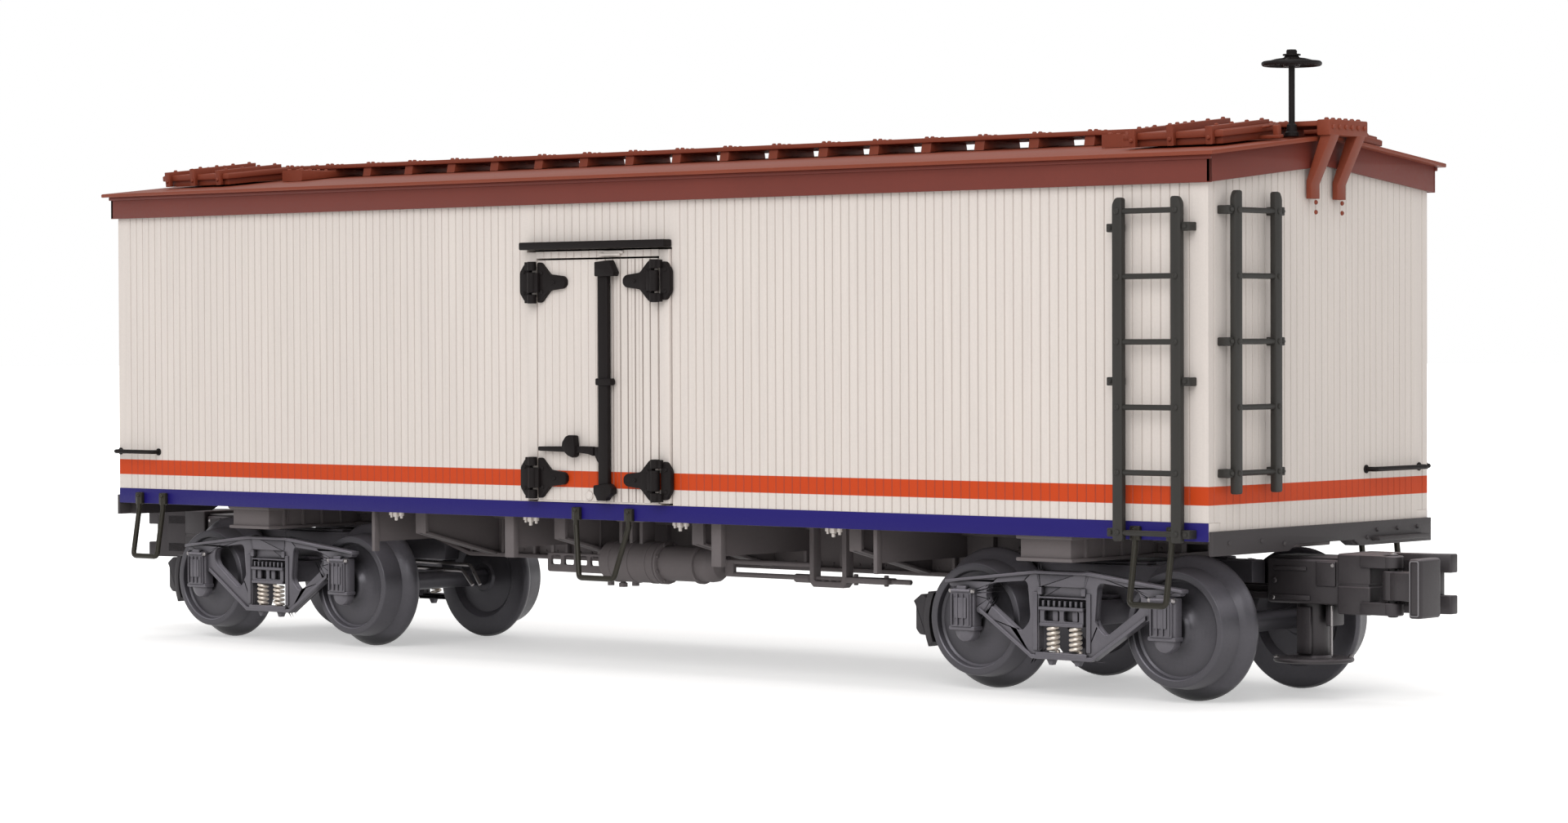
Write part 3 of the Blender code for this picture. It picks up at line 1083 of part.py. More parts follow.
def coupler_body():
    """Tongue, housing, head with its lugs and guard arm, and the release disc under it."""
    tongue_low = AXLE_Z + BOLSTER_WINDOW_TOP
    tongue = outline(eye_and_tongue(HOUSING_START + OVERLAP), "Z", tongue_low, tongue_low + TONGUE_THICKNESS)
    head_top = AXLE_Z + HEAD_TOP
    head_low = head_top - HEAD_HEIGHT
    housing_top = head_top - TONGUE_THICKNESS
    housing = block((HOUSING_START, HEAD_START + OVERLAP), (-HOUSING_HALF, HOUSING_HALF),
                    (housing_top - HOUSING_HEIGHT, housing_top), TONGUE_THICKNESS / 4)
    head_end = HEAD_START + HEAD_LENGTH
    head = block((HEAD_START, head_end), (-HEAD_HALF, HEAD_HALF), (head_low, head_top), TONGUE_THICKNESS / 4)
    pin = (KNUCKLE_PIN_X, -KNUCKLE_PIN_Y)
    pieces = [housing, head]
    for low, high in ((head_low + OVERLAP, head_low + LUG_THICKNESS),
                      (head_top - LUG_THICKNESS, head_top - OVERLAP)):
        pieces.append(cylinder((*pin, low), (*pin, high), LUG_RADIUS, 14))
        pieces.append(block((head_end - LUG_RADIUS, pin[0]),
                            (pin[1] - LUG_RADIUS + OVERLAP, pin[1] + LUG_RADIUS),
                            (low + OVERLAP / 2, high - OVERLAP / 2)))
    tip = head_end + GUARD_LENGTH
    wing = HEAD_HALF - GUARD_THICKNESS
    guard_loop = [(head_end - OVERLAP, wing), (head_end + GUARD_LENGTH / 2, wing + GUARD_FLARE / 3),
                  (tip, wing + GUARD_FLARE), (tip, HEAD_HALF + GUARD_FLARE),
                  (head_end + GUARD_LENGTH / 2, HEAD_HALF + GUARD_FLARE / 3),
                  (head_end - OVERLAP, HEAD_HALF - OVERLAP)]
    guard = outline([guard_loop], "Z", head_low + 2 * OVERLAP, head_top - 2 * OVERLAP)
    gap = HEAD_HEIGHT * 0.24
    notch = block((tip - GUARD_THICKNESS, tip + GUARD_THICKNESS), (0, 2 * HEAD_HALF),
                  (head_low + gap, head_top - gap))
    pieces.append(cut(guard, notch))
    disc_low = AXLE_Z - DISC_DROP
    post = HOUSING_START + PLUNGER_OFFSET
    pieces.append(cylinder((post, 0, disc_low + DISC_THICKNESS / 2), (post, 0, housing_top - OVERLAP * 2),
                           PLUNGER_RADIUS, 12))
    pieces.append(cylinder((post, 0, disc_low), (post, 0, disc_low + DISC_THICKNESS), DISC_RADIUS, 16))
    return union(tongue, *pieces)


def knuckle():
    """The hook that turns on the head's pin, measured from the pin."""
    head_top = AXLE_Z + HEAD_TOP
    head_low = head_top - HEAD_HEIGHT
    low, high = head_low + LUG_THICKNESS + SEAM, head_top - LUG_THICKNESS - SEAM
    hub = cylinder((0, 0, low), (0, 0, high), LUG_RADIUS, 14)
    wall = -LUG_RADIUS - JAW_HALF / 4
    back = JAW_LENGTH - JAW_THICKNESS
    arm_loop = [(0, -LUG_RADIUS * 0.9), (0, LUG_RADIUS * 0.8), (back + OVERLAP, wall + 2 * JAW_HALF),
                (back + OVERLAP, wall + OVERLAP), (LUG_RADIUS, wall + OVERLAP)]
    arm = outline([arm_loop], "Z", low + OVERLAP / 2, high - OVERLAP / 2)
    corner = JAW_THICKNESS / 3
    hook_loop = [(back, wall), (JAW_LENGTH - corner, wall), (JAW_LENGTH, wall + corner),
                 (JAW_LENGTH, JAW_REACH - corner), (JAW_LENGTH - corner, JAW_REACH),
                 (back + corner, JAW_REACH), (back, JAW_REACH - corner)]
    hook = outline([hook_loop], "Z", head_low - OVERLAP, head_top - OVERLAP)
    return union(hub, arm, hook)


def build_body():
    """The pieces fixed to the car, each on its side, at its end or in the middle."""
    place(floor(), "floor", "underframe")
    place(underframe(), "underframe", "underframe")
    place(roof(), "roof", "red_brown")
    place(running_board(), "running_board", "red_brown")
    place(brake_staff(), "brake_staff", "black")
    place(brake_cylinder(), "brake_cylinder", "underframe")
    place(valve_bracket(), "valve_bracket", "underframe")
    place(brake_rigging(), "brake_rigging", "underframe")

    right, left = empty("right_side"), empty("left_side", turn=math.pi)
    face = (0, -HALF_WIDTH, 0)
    step_x = HALF_LENGTH - SIDE_LADDER_INSET
    for piece, name, colour, location in (
            (side_wall(), "side_wall", "white", (0, 0, 0)),
            (door_frame(), "door_frame", "white", (0, 0, 0)),
            (drip_rail(), "drip_rail", "black", (0, 0, 0)),
            (ladder(SIDE_LADDER_FOOT, SIDE_LADDER_HORN, True), "side_ladder", "ladder_grey",
             (step_x, face[1], 0)),
            (grab_iron(SIDE_GRAB_LENGTH), "side_grab", "black",
             (SIDE_GRAB_INSET - HALF_LENGTH, face[1], SILL_Z + GRAB_HEIGHT)),
            (sill_step(DOOR_STEP_HALF_TOP, DOOR_STEP_HALF_TREAD), "door_step", "black",
             (DOOR_STEP_SHIFT, 0, 0))):
        place(piece, name + "_right", colour, right, location)
        place_again(piece, name + "_left", left)
    step = place(sill_step(CORNER_STEP_HALF, CORNER_STEP_HALF), "corner_step_right_front", "black", right,
                 (step_x, 0, 0))
    place_again(step, "corner_step_right_rear", right, (-step_x, 0, 0))
    place_again(step, "corner_step_left_rear", left)
    place_again(step, "corner_step_left_front", left, (-step_x, 0, 0))

    front, rear = empty("brake_end"), empty("plain_end", turn=math.pi)
    quarter = Matrix.Rotation(math.pi / 2, 4, "Z")
    end_ladder = moved(ladder(END_LADDER_FOOT, END_LADDER_HORN, False), quarter)
    end_grab = moved(grab_iron(END_GRAB_LENGTH), quarter)
    for piece, name, twin, colour, location in (
            (end_wall(), "end_wall_front", "end_wall_rear", "white", (0, 0, 0)),
            (end_sill(), "end_sill_front", "end_sill_rear", "underframe", (0, 0, 0)),
            (end_ladder, "end_ladder_front", "end_ladder_rear", "ladder_grey",
             (HALF_LENGTH, END_LADDER_INSET - HALF_WIDTH, 0)),
            (end_grab, "end_grab_front", "end_grab_rear", "black",
             (HALF_LENGTH, HALF_WIDTH - END_GRAB_INSET, SILL_Z + GRAB_HEIGHT)),
            (hatch(-1), "hatch_right_front", "hatch_left_rear", "red_brown", (0, 0, 0)),
            (hatch(1), "hatch_left_front", "hatch_right_rear", "red_brown", (0, 0, 0))):
        place(piece, name, colour, front, location)
        place_again(piece, twin, rear)


def build_doors():
    """Two leaves in each doorway, each with its origin on its hinge pin."""
    leaves = {
        "front": (door_leaf(1), locking_rod(), "locking_rod", (PIN_X, -PIN_Y, 0)),
        "rear": (door_leaf(-1), door_handle(), "door_handle", (-PIN_X, -PIN_Y, 0)),
    }
    right, left = bpy.data.objects["right_side"], bpy.data.objects["left_side"]
    other = {"front": "rear", "rear": "front"}
    for end, (leaf, fitting, fitting_name, pin) in leaves.items():
        place(leaf, "door_leaf_right_" + end, "white", right, pin)
        place(fitting, fitting_name + "_right", "black", right, pin)
        place_again(leaf, "door_leaf_left_" + other[end], left)
        place_again(fitting, fitting_name + "_left", left)


def build_trucks():
    """A truck under each end, with its wheelsets, coupler and knuckle on their own axes."""
    holders = {"front": empty("truck_front_pivot", (TRUCK_X, 0, 0)),
               "rear": empty("truck_rear_pivot", (-TRUCK_X, 0, 0), math.pi)}
    front = holders["front"]
    frame = side_frame()
    far_frame = copy_of(frame, Matrix.Scale(-1, 4, (0, 1, 0)))
    pin = (KNUCKLE_PIN_X, -KNUCKLE_PIN_Y, 0)
    axle = (WHEELBASE / 2, 0, AXLE_Z)
    first = {
        "truck_bolster": place(truck_bolster(), "truck_bolster_front", "truck_grey", front),
        "side_frame_a": place(frame, "side_frame_a_front", "truck_grey", front),
        "side_frame_b": place(far_frame, "side_frame_b_front", "truck_grey", front),
        "coupler": place(coupler_body(), "coupler_front", "truck_grey", front),
        "knuckle": place(knuckle(), "knuckle_front", "truck_grey", front, pin),
        "outer_wheelset": place(wheelset(), "outer_wheelset_front", "wheel_steel", front, axle),
    }
    inner = (-axle[0], 0, AXLE_Z)
    place_again(first["outer_wheelset"], "inner_wheelset_front", front, inner)
    for name, piece in first.items():
        place_again(piece, name + "_rear", holders["rear"])
    place_again(first["outer_wheelset"], "inner_wheelset_rear", holders["rear"], inner)


for old in list(bpy.data.objects):
    bpy.data.objects.remove(old)
car = bpy.data.collections.new("refrigerator_car")
workshop = bpy.data.collections.new("workshop")
bpy.context.scene.collection.children.link(car)
bpy.context.scene.collection.children.link(workshop)
build_body()
build_doors()
build_trucks()
bpy.data.collections.remove(workshop)
bpy.context.view_layer.update()
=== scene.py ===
# Wooden refrigerator car, O scale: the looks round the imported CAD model.
# +X is the end with the brake wheel, -Y the side towards the camera.
import bpy
import bmesh
import math
from mathutils import Matrix, Vector


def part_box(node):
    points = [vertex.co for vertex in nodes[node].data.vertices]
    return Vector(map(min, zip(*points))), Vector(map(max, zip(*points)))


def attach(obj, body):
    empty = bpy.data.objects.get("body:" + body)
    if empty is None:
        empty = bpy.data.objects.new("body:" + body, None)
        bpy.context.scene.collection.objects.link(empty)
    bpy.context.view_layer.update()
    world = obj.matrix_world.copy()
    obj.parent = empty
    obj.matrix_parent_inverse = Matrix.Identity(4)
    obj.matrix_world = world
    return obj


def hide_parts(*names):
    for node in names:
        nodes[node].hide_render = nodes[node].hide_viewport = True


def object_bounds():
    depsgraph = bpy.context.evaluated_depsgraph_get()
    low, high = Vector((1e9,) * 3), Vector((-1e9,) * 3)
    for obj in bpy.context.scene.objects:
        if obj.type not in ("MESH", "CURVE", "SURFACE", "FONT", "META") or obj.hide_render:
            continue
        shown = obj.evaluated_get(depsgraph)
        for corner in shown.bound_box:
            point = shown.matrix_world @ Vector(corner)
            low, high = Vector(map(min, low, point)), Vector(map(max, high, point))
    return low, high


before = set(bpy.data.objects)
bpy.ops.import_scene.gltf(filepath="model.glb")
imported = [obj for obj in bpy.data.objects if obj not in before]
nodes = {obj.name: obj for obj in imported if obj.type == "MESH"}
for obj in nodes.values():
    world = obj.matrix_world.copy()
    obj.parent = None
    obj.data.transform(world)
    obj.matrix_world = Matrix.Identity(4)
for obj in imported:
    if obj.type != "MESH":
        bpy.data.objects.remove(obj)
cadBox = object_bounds()
print("frame loaded:", len(nodes), "nodes")

# Pieces are modelled in millimetres, from places read off the CAD's side wall
mm = 1000.0
wallLow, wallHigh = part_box("side_wall_right")
sillZ, halfLength, halfWidth = wallLow.z, wallHigh.x, -wallLow.y
sill, wallEnd, wallSide = sillZ * mm, halfLength * mm, halfWidth * mm

# Camera, from the photo's corners and stripes
camera = {"azimuth": 40.6016, "elevation": 1.04397, "roll": -0.20702, "distance": 0.649570,
          "across": 0.0103226, "up": 0.0164867, "lens": 92.3112}


def newObject(name, data):
    made = bpy.data.objects.new(name, data)
    bpy.context.scene.collection.objects.link(made)
    return made


def addCamera():
    az, el, roll = (math.radians(camera[k]) for k in ("azimuth", "elevation", "roll"))
    back = Vector((math.sin(az) * math.cos(el), -math.cos(az) * math.cos(el), math.sin(el)))
    level = Vector((math.cos(az), math.sin(az), 0))
    upright = back.cross(level)
    right = math.cos(roll) * level + math.sin(roll) * upright
    up = -math.sin(roll) * level + math.cos(roll) * upright
    data = bpy.data.cameras.new("photoCamera")
    data.lens, data.sensor_width, data.sensor_fit = camera["lens"], 36, "HORIZONTAL"
    data.clip_start, data.clip_end = 0.01, 20
    eye = right * camera["across"] + up * camera["up"] + back * camera["distance"] + Vector((0, 0, sillZ))
    rig = newObject("photoCamera", data)
    rig.matrix_world = Matrix.Translation(eye) @ Matrix((right, up, back)).transposed().to_4x4()
    bpy.context.scene.camera = rig


addCamera()
print("camera placed")


# Materials
def addNode(tree, kind, inputs=None, **settings):
    made = tree.nodes.new("ShaderNode" + kind)
    for key, value in settings.items():
        setattr(made, key, value)
    for key, value in (inputs or {}).items():
        if isinstance(value, bpy.types.NodeSocket):
            tree.links.new(value, made.inputs[key])
        else:
            made.inputs[key].default_value = value
    return made


def startMaterial(name, roughness=0.5, metallic=0.0, specular=0.5):
    material = bpy.data.materials.new(name)
    material.use_nodes = True
    tree = material.node_tree
    shader = tree.nodes["Principled BSDF"]
    for key, value in (("Roughness", roughness), ("Metallic", metallic), ("Specular IOR Level", specular)):
        shader.inputs[key].default_value = value
    return material, tree, shader, addNode(tree, "TexCoord").outputs["Object"]


def endMaterial(tree, shader, colour, roughness, height, strength, depth):
    tree.links.new(colour, shader.inputs["Base Color"])
    tree.links.new(roughness, shader.inputs["Roughness"])
    bump = addNode(tree, "Bump", {"Strength": strength, "Distance": depth, "Height": height})
    tree.links.new(bump.outputs[0], shader.inputs["Normal"])


def mathNode(tree, operation, a, b=0.0):
    return addNode(tree, "Math", {0: a, 1: b, 2: 0.0}, operation=operation).outputs[0]


def times(tree, a, b):
    return mathNode(tree, "MULTIPLY", a, b)


def mixColours(tree, share, a, b, blend="MIX"):
    return addNode(tree, "Mix", {0: share, 6: a, 7: b}, data_type="RGBA", blend_type=blend).outputs[2]


def noise(tree, where, scale, detail=2.0, roughness=0.5):
    return addNode(tree, "TexNoise", {"Vector": where, "Scale": scale, "Detail": detail,
                                      "Roughness": roughness}).outputs["Fac"]


def ramp(tree, value, low, high, fromLow=0.0, fromHigh=1.0):
    return addNode(tree, "MapRange", {"Value": value, "From Min": fromLow, "From Max": fromHigh,
                                      "To Min": low, "To Max": high}).outputs[0]


def stretched(tree, where, *scale):
    return addNode(tree, "Mapping", {"Vector": where, "Scale": scale}).outputs[0]


def band(tree, value, low, high, edge=0.00004):
    # 1 between low and high, with edges as soft as a paint mask leaves them
    rise = ramp(tree, value, 0.0, 1.0, low - edge, low + edge)
    return times(tree, rise, ramp(tree, value, 1.0, 0.0, high - edge, high + edge))


def tinted(tree, colour, tone):
    return mixColours(tree, 1.0, (*colour, 1.0), tone, "MULTIPLY")


# the brown mixed into the board grooves is painted shade
boardColours = {"white": (0.73, 0.665, 0.62), "orange": (0.57, 0.058, 0.008), "blue": (0.013, 0.008, 0.142),
                "grooveShadeColour": (0.20, 0.15, 0.13), "orangeFrom": 0.0050, "orangeTo": 0.0076, "blueTo": 0.0026,
                "blueOutside": (0.02832, 0.02842)}


def boardPaint(name, grooveShadeStrength=0.42):
    # white paint on wood, the orange stripe all round and the blue one on the outside of the side sills, with painted
    # shade in the grooves
    b = boardColours
    material, tree, shader, where = startMaterial(name, 0.5, specular=0.22)
    xyz = addNode(tree, "SeparateXYZ", {0: where}).outputs
    grain = noise(tree, where, 2600, 3, 0.7)
    streak = noise(tree, stretched(tree, where, 1100, 1100, 45), 1.0, 3, 0.6)
    broad = noise(tree, stretched(tree, where, 60, 60, 20), 1.0, 2, 0.5)
    tone = mathNode(tree, "ADD", ramp(tree, grain, -0.05, 0.05), ramp(tree, streak, 0.92, 1.06))
    colour = tinted(tree, b["white"], times(tree, tone, ramp(tree, broad, 0.97, 1.03)))
    orange = band(tree, xyz["Z"], sillZ + b["orangeFrom"], sillZ + b["orangeTo"])
    across, lengthways = (mathNode(tree, "ABSOLUTE", xyz[axis]) for axis in "YX")
    # the stripes are on the outside only
    outside = mathNode(tree, "MAXIMUM", ramp(tree, across, 0.0, 1.0, halfWidth - 0.0005, halfWidth - 0.0004),
                       ramp(tree, lengthways, 0.0, 1.0, halfLength - 0.0010, halfLength - 0.0009))
    colour = mixColours(tree, times(tree, orange, outside), colour, (*b["orange"], 1.0))
    outside = ramp(tree, across, 0.0, 1.0, *b["blueOutside"])
    blue = times(tree, outside, band(tree, xyz["Z"], sillZ - 0.001, sillZ + b["blueTo"]))
    colour = mixColours(tree, blue, colour, (*b["blue"], 1.0))
    # painted shade in the grooves, darker where ambient occlusion finds the neighbouring boards
    grooveShade = addNode(tree, "AmbientOcclusion", {"Distance": 0.0006}, samples=8, only_local=True).outputs["AO"]
    colour = mixColours(tree, ramp(tree, grooveShade, grooveShadeStrength, 0.0, 0.35, 0.95), colour, (*b["grooveShadeColour"], 1.0))
    relief = mathNode(tree, "ADD", grain, times(tree, streak, 1.5))
    endMaterial(tree, shader, colour, ramp(tree, grain, 0.40, 0.62), relief, 0.35, 0.00003)
    return material


def satin(name, colour, roughness, metallic=0.0, specular=0.28):
    material, tree, shader, where = startMaterial(name, roughness, metallic, specular)
    fine, broad = noise(tree, where, 1800, 4, 0.65), noise(tree, where, 90, 2, 0.5)
    tone = mathNode(tree, "ADD", ramp(tree, fine, -0.10, 0.10), ramp(tree, broad, 0.90, 1.10))
    endMaterial(tree, shader, tinted(tree, colour, tone), ramp(tree, fine, roughness - 0.12, roughness + 0.12), fine,
                0.4, 0.00002)
    return material


def casting(name, colour, roughness, metallic=0.25):
    # painted light on what faces up, and painted shade in recesses
    material, tree, shader, where = startMaterial(name, roughness, metallic, 0.35)
    up = addNode(tree, "SeparateXYZ", {0: addNode(tree, "NewGeometry").outputs["Normal"]}).outputs["Z"]
    fine, broad = noise(tree, where, 2200, 4, 0.65), noise(tree, where, 120, 3, 0.5)
    tone = mathNode(tree, "ADD", ramp(tree, fine, -0.12, 0.12), ramp(tree, broad, 0.88, 1.10))
    # painted shade: darker where ambient occlusion finds other parts within 2.5 mm
    recessShade = addNode(tree, "AmbientOcclusion", {"Distance": 0.0025}, samples=8).outputs["AO"]
    tone = times(tree, tone, ramp(tree, recessShade, 0.18, 1.0, 0.30, 0.95))
    # painted light: faces that look upwards are made up to three times lighter
    tone = times(tree, tone, ramp(tree, up, 1.0, 3.0, 0.2, 0.7))
    endMaterial(tree, shader, tinted(tree, colour, tone), ramp(tree, fine, roughness - 0.14, roughness + 0.12), fine,
                0.5, 0.00003)
    return material


# colour, roughness, metallic and specular of each finish
satins = {
    # the roof's top paint is the fascia's red made lighter, as painted light from above
    "fasciaRed": ((0.16, 0.032, 0.022), 0.5), "roofRedLitFromAbove": ((0.22, 0.046, 0.022), 0.5),
    "hardwareBlack": ((0.012, 0.0095, 0.0095), 0.5, 0.0, 0.12), "stepSteel": ((0.030, 0.027, 0.020), 0.32, 0.3),
    "ladderGrey": ((0.030, 0.028, 0.025), 0.5), "underframeBlack": ((0.150, 0.132, 0.134), 0.6),
    "springSteel": ((0.78, 0.70, 0.62), 0.35, 0.5), "brightBolts": ((0.32, 0.30, 0.30), 0.3, 0.9, 0.5),
    # the light grey round the knuckle's rim is a painted highlight
    "rimHighlightGrey": ((0.20, 0.19, 0.20), 0.4, 0.3), "endSillBlack": ((0.052, 0.046, 0.048), 0.5),
    # the light grey of the bolt ends under the sill is a painted glint
    "sillBoltGlintGrey": ((0.55, 0.51, 0.48), 0.35, 0.4)}
castings = {
    "truckGrey": ((0.145, 0.137, 0.155), 0.42), "wheelSteel": ((0.085, 0.081, 0.092), 0.36, 0.4),
    "truckShadeGrey": ((0.050, 0.046, 0.050), 0.5), "couplerGrey": ((0.050, 0.044, 0.047), 0.42)}
# the door leaves get the strongest painted shade in their grooves
paint = {name: boardPaint(name, grooveShade) for name, grooveShade in (("wallPaint", 0.42), ("casingPaint", 0.42),
                                                         ("leafPaint", 0.85))}
paint.update({name: satin(name, *values) for name, values in satins.items()})
paint.update({name: casting(name, *values) for name, values in castings.items()})

dressed = {}                      # each kind of piece: paint, the record's slot, body, and the node it stands for
for paintName, slotName, body, kinds in (
        ("wallPaint", "body_white", "car_body", {"sideBoards": "side_wall", "endBoards": "end_wall"}),
        ("casingPaint", "body_white", "car_body", {"doorCasing": "door_frame"}),
        ("leafPaint", "body_white", "door_{where}", {"doorLeaf": "door_leaf"}),
        ("hardwareBlack", "hardware_black", "car_body",
         {"fixedHinges": "door_frame", "dripRail": "drip_rail", "brakeStaff": "brake_staff", "sideGrab": "side_grab",
          "endGrab": "end_grab"}),
        ("hardwareBlack", "hardware_black", "door_{where}", {"hingeStraps": "door_leaf"}),
        ("hardwareBlack", "hardware_black", "door_{where}_{ahead}", {"lockRod": "locking_rod"}),
        ("hardwareBlack", "hardware_black", "door_{where}_{behind}", {"doorHandle": "door_handle"}),
        ("stepSteel", "hardware_black", "car_body", {"doorStep": "door_step", "cornerStep": "corner_step"}),
        ("fasciaRed", "roof_brown", "car_body", {"fascia": "roof"}),
        ("roofRedLitFromAbove", "roof_brown", "car_body",
         {"roofSheet": "roof", "runningBoard": "running_board", "iceHatch": "hatch"}),
        ("ladderGrey", "ladder_grey", "car_body", {"sideLadder": "side_ladder", "endLadder": "end_ladder"}),
        ("endSillBlack", "underframe", "car_body", {"endSill": "end_sill"}),
        ("underframeBlack", "underframe", "car_body",
         {"underframeBeams": "underframe", "brakeCylinder": "brake_cylinder", "valveBracket": "valve_bracket",
          "brakeRigging": "brake_rigging"}),
        ("sillBoltGlintGrey", "underframe", "car_body", {"sillBolts": None}),
        ("truckGrey", "truck_grey", "truck_{end}", {"sideFrame": "side_frame", "truckBolster": "truck_bolster"}),
        ("brightBolts", "truck_grey", "truck_{end}", {"frameBolts": "side_frame", "brakeRods": None}),
        ("springSteel", "truck_grey", "truck_{end}", {"springs": "side_frame"}),
        ("truckShadeGrey", "truck_grey", "truck_{end}", {"brakeBeam": None}),
        ("wheelSteel", "wheel_steel", "wheelset_{end}_outer", {"outerWheels": "outer_wheelset"}),
        ("wheelSteel", "wheel_steel", "wheelset_{end}_inner", {"innerWheels": "inner_wheelset"}),
        ("couplerGrey", "coupler_grey", "truck_{end}", {"couplerBody": "coupler"}),
        ("brightBolts", "coupler_grey", "truck_{end}", {"couplerRivets": "coupler"}),
        ("couplerGrey", "coupler_grey", "knuckle_{end}", {"couplerKnuckle": "knuckle"}),
        ("rimHighlightGrey", "coupler_grey", "knuckle_{end}", {"knuckleEdge": "knuckle"})):
    for kind, node in kinds.items():
        dressed[kind] = (paintName, slotName, body, node)
for name, piece in nodes.items():
    finish = next((row[0] for row in dressed.values() if row[3] and name.startswith(row[3])), "underframeBlack")
    for materialSlot in piece.material_slots:
        materialSlot.material = paint[finish]
print("materials made")


# Shapes
def turn(degrees, axis):
    return Matrix.Rotation(math.radians(degrees), 4, axis)


def moveTo(x=0.0, y=0.0, z=0.0, degrees=0.0, axis="X"):
    return Matrix.Translation((x, y, z)) @ turn(degrees, axis)


still, halfTurn = Matrix.Identity(4), turn(180, "Z")
sides, ends, whole = {"right": still, "left": halfTurn}, {"front": still, "rear": halfTurn}, {"": still}
otherEnd = {"front": "rear", "rear": "front"}
mirrorX, mirrorY = Matrix.Scale(-1, 4, (1, 0, 0)), Matrix.Scale(-1, 4, (0, 1, 0))
bothEnds, bothSides = (still, mirrorX), (still, mirrorY)
fourWays = (still, mirrorX, mirrorY, mirrorX @ mirrorY)


def placed(places, local):
    return {name: place @ local for name, place in places.items()}


def put(bm, part, *places):       # copies of a part in a piece, and the part is used up
    mesh = bpy.data.meshes.new("part")
    part.to_mesh(mesh)
    part.free()
    for place in places or (still,):
        copy = mesh.copy()
        copy.transform(place)
        if place.determinant() < 0:
            copy.flip_normals()
        bm.from_mesh(copy)
        bpy.data.meshes.remove(copy)
    bpy.data.meshes.remove(mesh)
    return bm


def joined(*parts):
    bm = bmesh.new()
    for part in parts:
        put(bm, part)
    return bm


def moved(part, place):
    return put(bmesh.new(), part, place)


def vertsOf(made):
    return [item for item in made["geom"] if isinstance(item, bmesh.types.BMVert)]


def eased(bm, edges, offset, segments=2):
    bmesh.ops.bevel(bm, geom=edges, offset=offset, segments=segments, profile=0.5, affect="EDGES", material=-1)
    return bm


def sharpEdges(bm, angle):
    return [e for e in bm.edges if len(e.link_faces) == 2 and e.calc_face_angle(0) > angle]


def levelEdges(bm, angle):        # the sharp ones of them
    return [e for e in sharpEdges(bm, angle) if abs(e.verts[0].co.z - e.verts[1].co.z) < 1e-5]


def block(x, y, z, bevel=0.0, segments=2):
    spans = [sorted(span) for span in (x, y, z)]
    bm = bmesh.new()
    bmesh.ops.create_cube(bm, size=1.0)
    bmesh.ops.scale(bm, vec=[high - low for low, high in spans], verts=bm.verts)
    bmesh.ops.translate(bm, vec=[(low + high) / 2 for low, high in spans], verts=bm.verts)
    return eased(bm, sharpEdges(bm, math.radians(30)), bevel, segments) if bevel else bm


def putBlocks(bm, *rows):
    for row in rows:
        put(bm, block(*row))


def along(start, end):            # turns +Z to the way from start to end, at the start
    start, end = Vector(start), Vector(end)
    return Matrix.Translation(start) @ Vector((0, 0, 1)).rotation_difference(end - start).to_matrix().to_4x4()


def lathe(profile, sidesRound=24):
    # (radius, height) pairs turned round Z
    bm = bmesh.new()
    points = [bm.verts.new((radius, 0, height)) for radius, height in profile]
    edges = [bm.edges.new(pair) for pair in zip(points, points[1:])]
    bmesh.ops.spin(bm, geom=points + edges, cent=(0, 0, 0), axis=(0, 0, 1), dvec=(0, 0, 0), angle=2 * math.pi,
                   steps=sidesRound, use_merge=True, use_duplicate=False)
    bmesh.ops.remove_doubles(bm, verts=bm.verts, dist=1e-4)
    bmesh.ops.recalc_face_normals(bm, faces=bm.faces)
    return bm


def bar(start, end, radius, sidesRound=12, edge=0.0):
    # a round bar between two points, with its rims eased
    length = (Vector(end) - Vector(start)).length
    profile = [(0, 0), (radius - edge, 0)] + ([(radius, edge), (radius, length - edge)] if edge else [])
    profile += [(radius - edge, length), (0, length)]
    return moved(lathe(profile, sidesRound), along(start, end))


def boltHead(radius, height, sidesRound=8):
    return lathe([(0, -0.1 * radius), (radius, -0.1 * radius), (radius, height * 0.45),
                  (radius * 0.62, height), (0, height)], sidesRound)


def nutOnWasher(radius, height):
    bm = lathe([(0, -0.05), (radius * 1.5, -0.05), (radius * 1.5, height * 0.2), (0, height * 0.2)], 12)
    put(bm, lathe([(0, 0), (radius, 0), (radius, height * 0.8), (radius * 0.8, height), (0, height)], 6))
    return bm


faceMatrix = {
    "X": Matrix(((0, 0, 1, 0), (1, 0, 0, 0), (0, 1, 0, 0), (0, 0, 0, 1))),
    "Y": Matrix(((1, 0, 0, 0), (0, 0, -1, 0), (0, 1, 0, 0), (0, 0, 0, 1))),
    "Z": still}


def plate(loops, axis, low, high, corner=0.0, bevel=0.0, segments=2):
    # a flat shape with holes, its outline in (y, z) across X, (x, z) across Y or (x, y) across Z
    low, high = sorted((low, high))
    bm = bmesh.new()
    made = [bm.faces.new([bm.verts.new((u, v, 0)) for u, v in loop]) for loop in loops]
    corners = corner if isinstance(corner, (list, tuple)) else [corner] * len(loops)
    for points, amount in zip([face.verts[:] for face in made], corners):
        if amount:
            bmesh.ops.bevel(bm, geom=points, offset=amount, offset_type="OFFSET", segments=3, profile=0.5,
                            affect="VERTICES", material=-1)
    if len(loops) > 1:
        bmesh.ops.delete(bm, geom=bm.faces[:], context="FACES_ONLY")
        bmesh.ops.triangle_fill(bm, use_beauty=True, edges=bm.edges[:])
    raised = bmesh.ops.extrude_face_region(bm, geom=bm.faces[:])
    bmesh.ops.translate(bm, vec=(0, 0, high - low), verts=vertsOf(raised))
    bmesh.ops.recalc_face_normals(bm, faces=bm.faces)
    if bevel:
        eased(bm, levelEdges(bm, 0.8), bevel, segments)
    # across Y the shape grows towards -Y, so it starts from its high side
    bmesh.ops.translate(bm, vec=(0, 0, -high if axis == "Y" else low), verts=bm.verts)
    bmesh.ops.transform(bm, matrix=faceMatrix[axis], verts=bm.verts)
    return bm


def putPlate(bm, points, *settings):
    return put(bm, plate([points], *settings))


